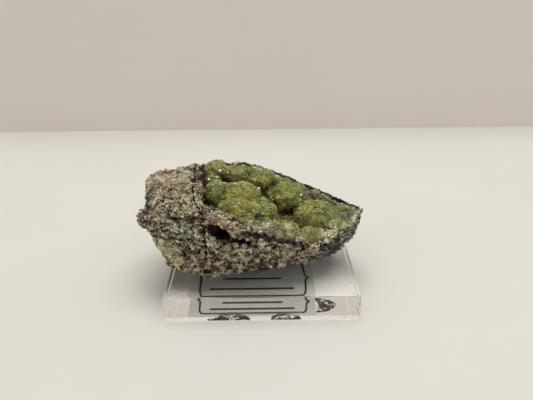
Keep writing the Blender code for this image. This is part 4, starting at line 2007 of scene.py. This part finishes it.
@dataclass
class Studio:
    """A pale table before a pale wall, under one large soft light."""

    half_width: float = 1600.0
    front: float = -1600.0
    wall: float = 121.0
    wall_height: float = 120.0
    table_level: float = -0.08
    sheet_cuts: int = 4
    lamp_place: tuple[float, float, float] = (30.0, 80.0, 560.0)
    lamp_size: tuple[float, float] = (400.0, 320.0)
    lamp_power: float = 1.74
    lamp_colour: Colour = (1.0, 0.985, 0.95)
    sky: Colour = (0.915, 0.900, 0.87)
    sky_strength: float = 0.665
    bounces: int = 24

    def sheet(self, name: str, near: Pixel, far: Pixel, finish: Finish) -> None:
        """Makes a flat stage piece as wide as the studio.

        Args:
            name: The name of the new piece.
            near: The depth and the height of its first edge.
            far: The depth and the height of its other edge.
            finish: What it is made of.
        """
        side = self.half_width
        bm = bmesh.new()
        corners = ((-side, *near), (side, *near), (side, *far), (-side, *far))
        bm.faces.new([bm.verts.new(corner) for corner in corners])
        bmesh.ops.subdivide_edges(bm, edges=bm.edges[:], cuts=self.sheet_cuts, use_grid_fill=True)
        piece = object_from(name, bm)
        piece.data.materials.append(finish.material())

    def lamp(self) -> None:
        """Hangs the soft light, which isn't seen through the clear block."""
        lamp = bpy.data.lights.new("soft_light", "AREA")
        lamp.shape = "RECTANGLE"
        lamp.size, lamp.size_y = (size * MM for size in self.lamp_size)
        lamp.energy = self.lamp_power
        lamp.color = self.lamp_colour
        holder = link(bpy.data.objects.new("soft_light", lamp))
        holder.visible_transmission = False
        holder.location = Vector(self.lamp_place) * MM
        holder.rotation_euler = (-holder.location).to_track_quat("-Z", "Y").to_euler()

    def air(self) -> None:
        """Sets the sky, and how often light is passed on."""
        world = bpy.data.worlds.new("studio_air")
        world.use_nodes = True
        background = world.node_tree.nodes["Background"]
        background.inputs["Color"].default_value = rgba(self.sky)
        background.inputs["Strength"].default_value = self.sky_strength
        # The sky's light goes through the clear block only as it is bent there
        world.cycles.sampling_method = "NONE"
        scene = bpy.context.scene
        scene.world = world
        scene.view_settings.view_transform = "Standard"
        # Light is reflected many times inside the clear block
        scene.cycles.max_bounces = self.bounces
        scene.cycles.glossy_bounces = self.bounces
        scene.cycles.transmission_bounces = self.bounces

    def build(self) -> None:
        """Makes the table, the wall, the light and the sky."""
        foot = (self.wall, self.table_level)
        wall_paint = PaintedFinish("wall_paint", (0.785, 0.730, 0.680), (0.815, 0.758, 0.706))
        self.sheet("table", (self.front, self.table_level), foot, PaintedFinish())
        self.sheet("wall", foot, (self.wall, self.wall_height), wall_paint)
        self.lamp()
        self.air()


def report(*pieces: bpy.types.Object) -> None:
    """Logs each piece and its number of faces."""
    for piece in pieces:
        log.info("%s: %d faces", piece.name, len(piece.data.polygons))


def main() -> None:
    """Builds the specimen and its studio."""
    logging.basicConfig(level=logging.INFO, format="%(name)s: %(message)s")
    VIEW.build()
    Studio().build()
    report(ClearBlock().build())
    report(*PrintedFilm().build())
    report(*Putty().build())
    crust, crust_skin, crust_masks = Crust().build()
    report(crust, Crystals().build(crust_skin, crust_masks), Glints().build(crust_skin))
    rock, rock_skin, rock_masks = Rock().build()
    report(rock, LooseGrains().build(rock_skin, rock_masks, crust_skin.tree()))


if __name__ == "__main__":
    main()
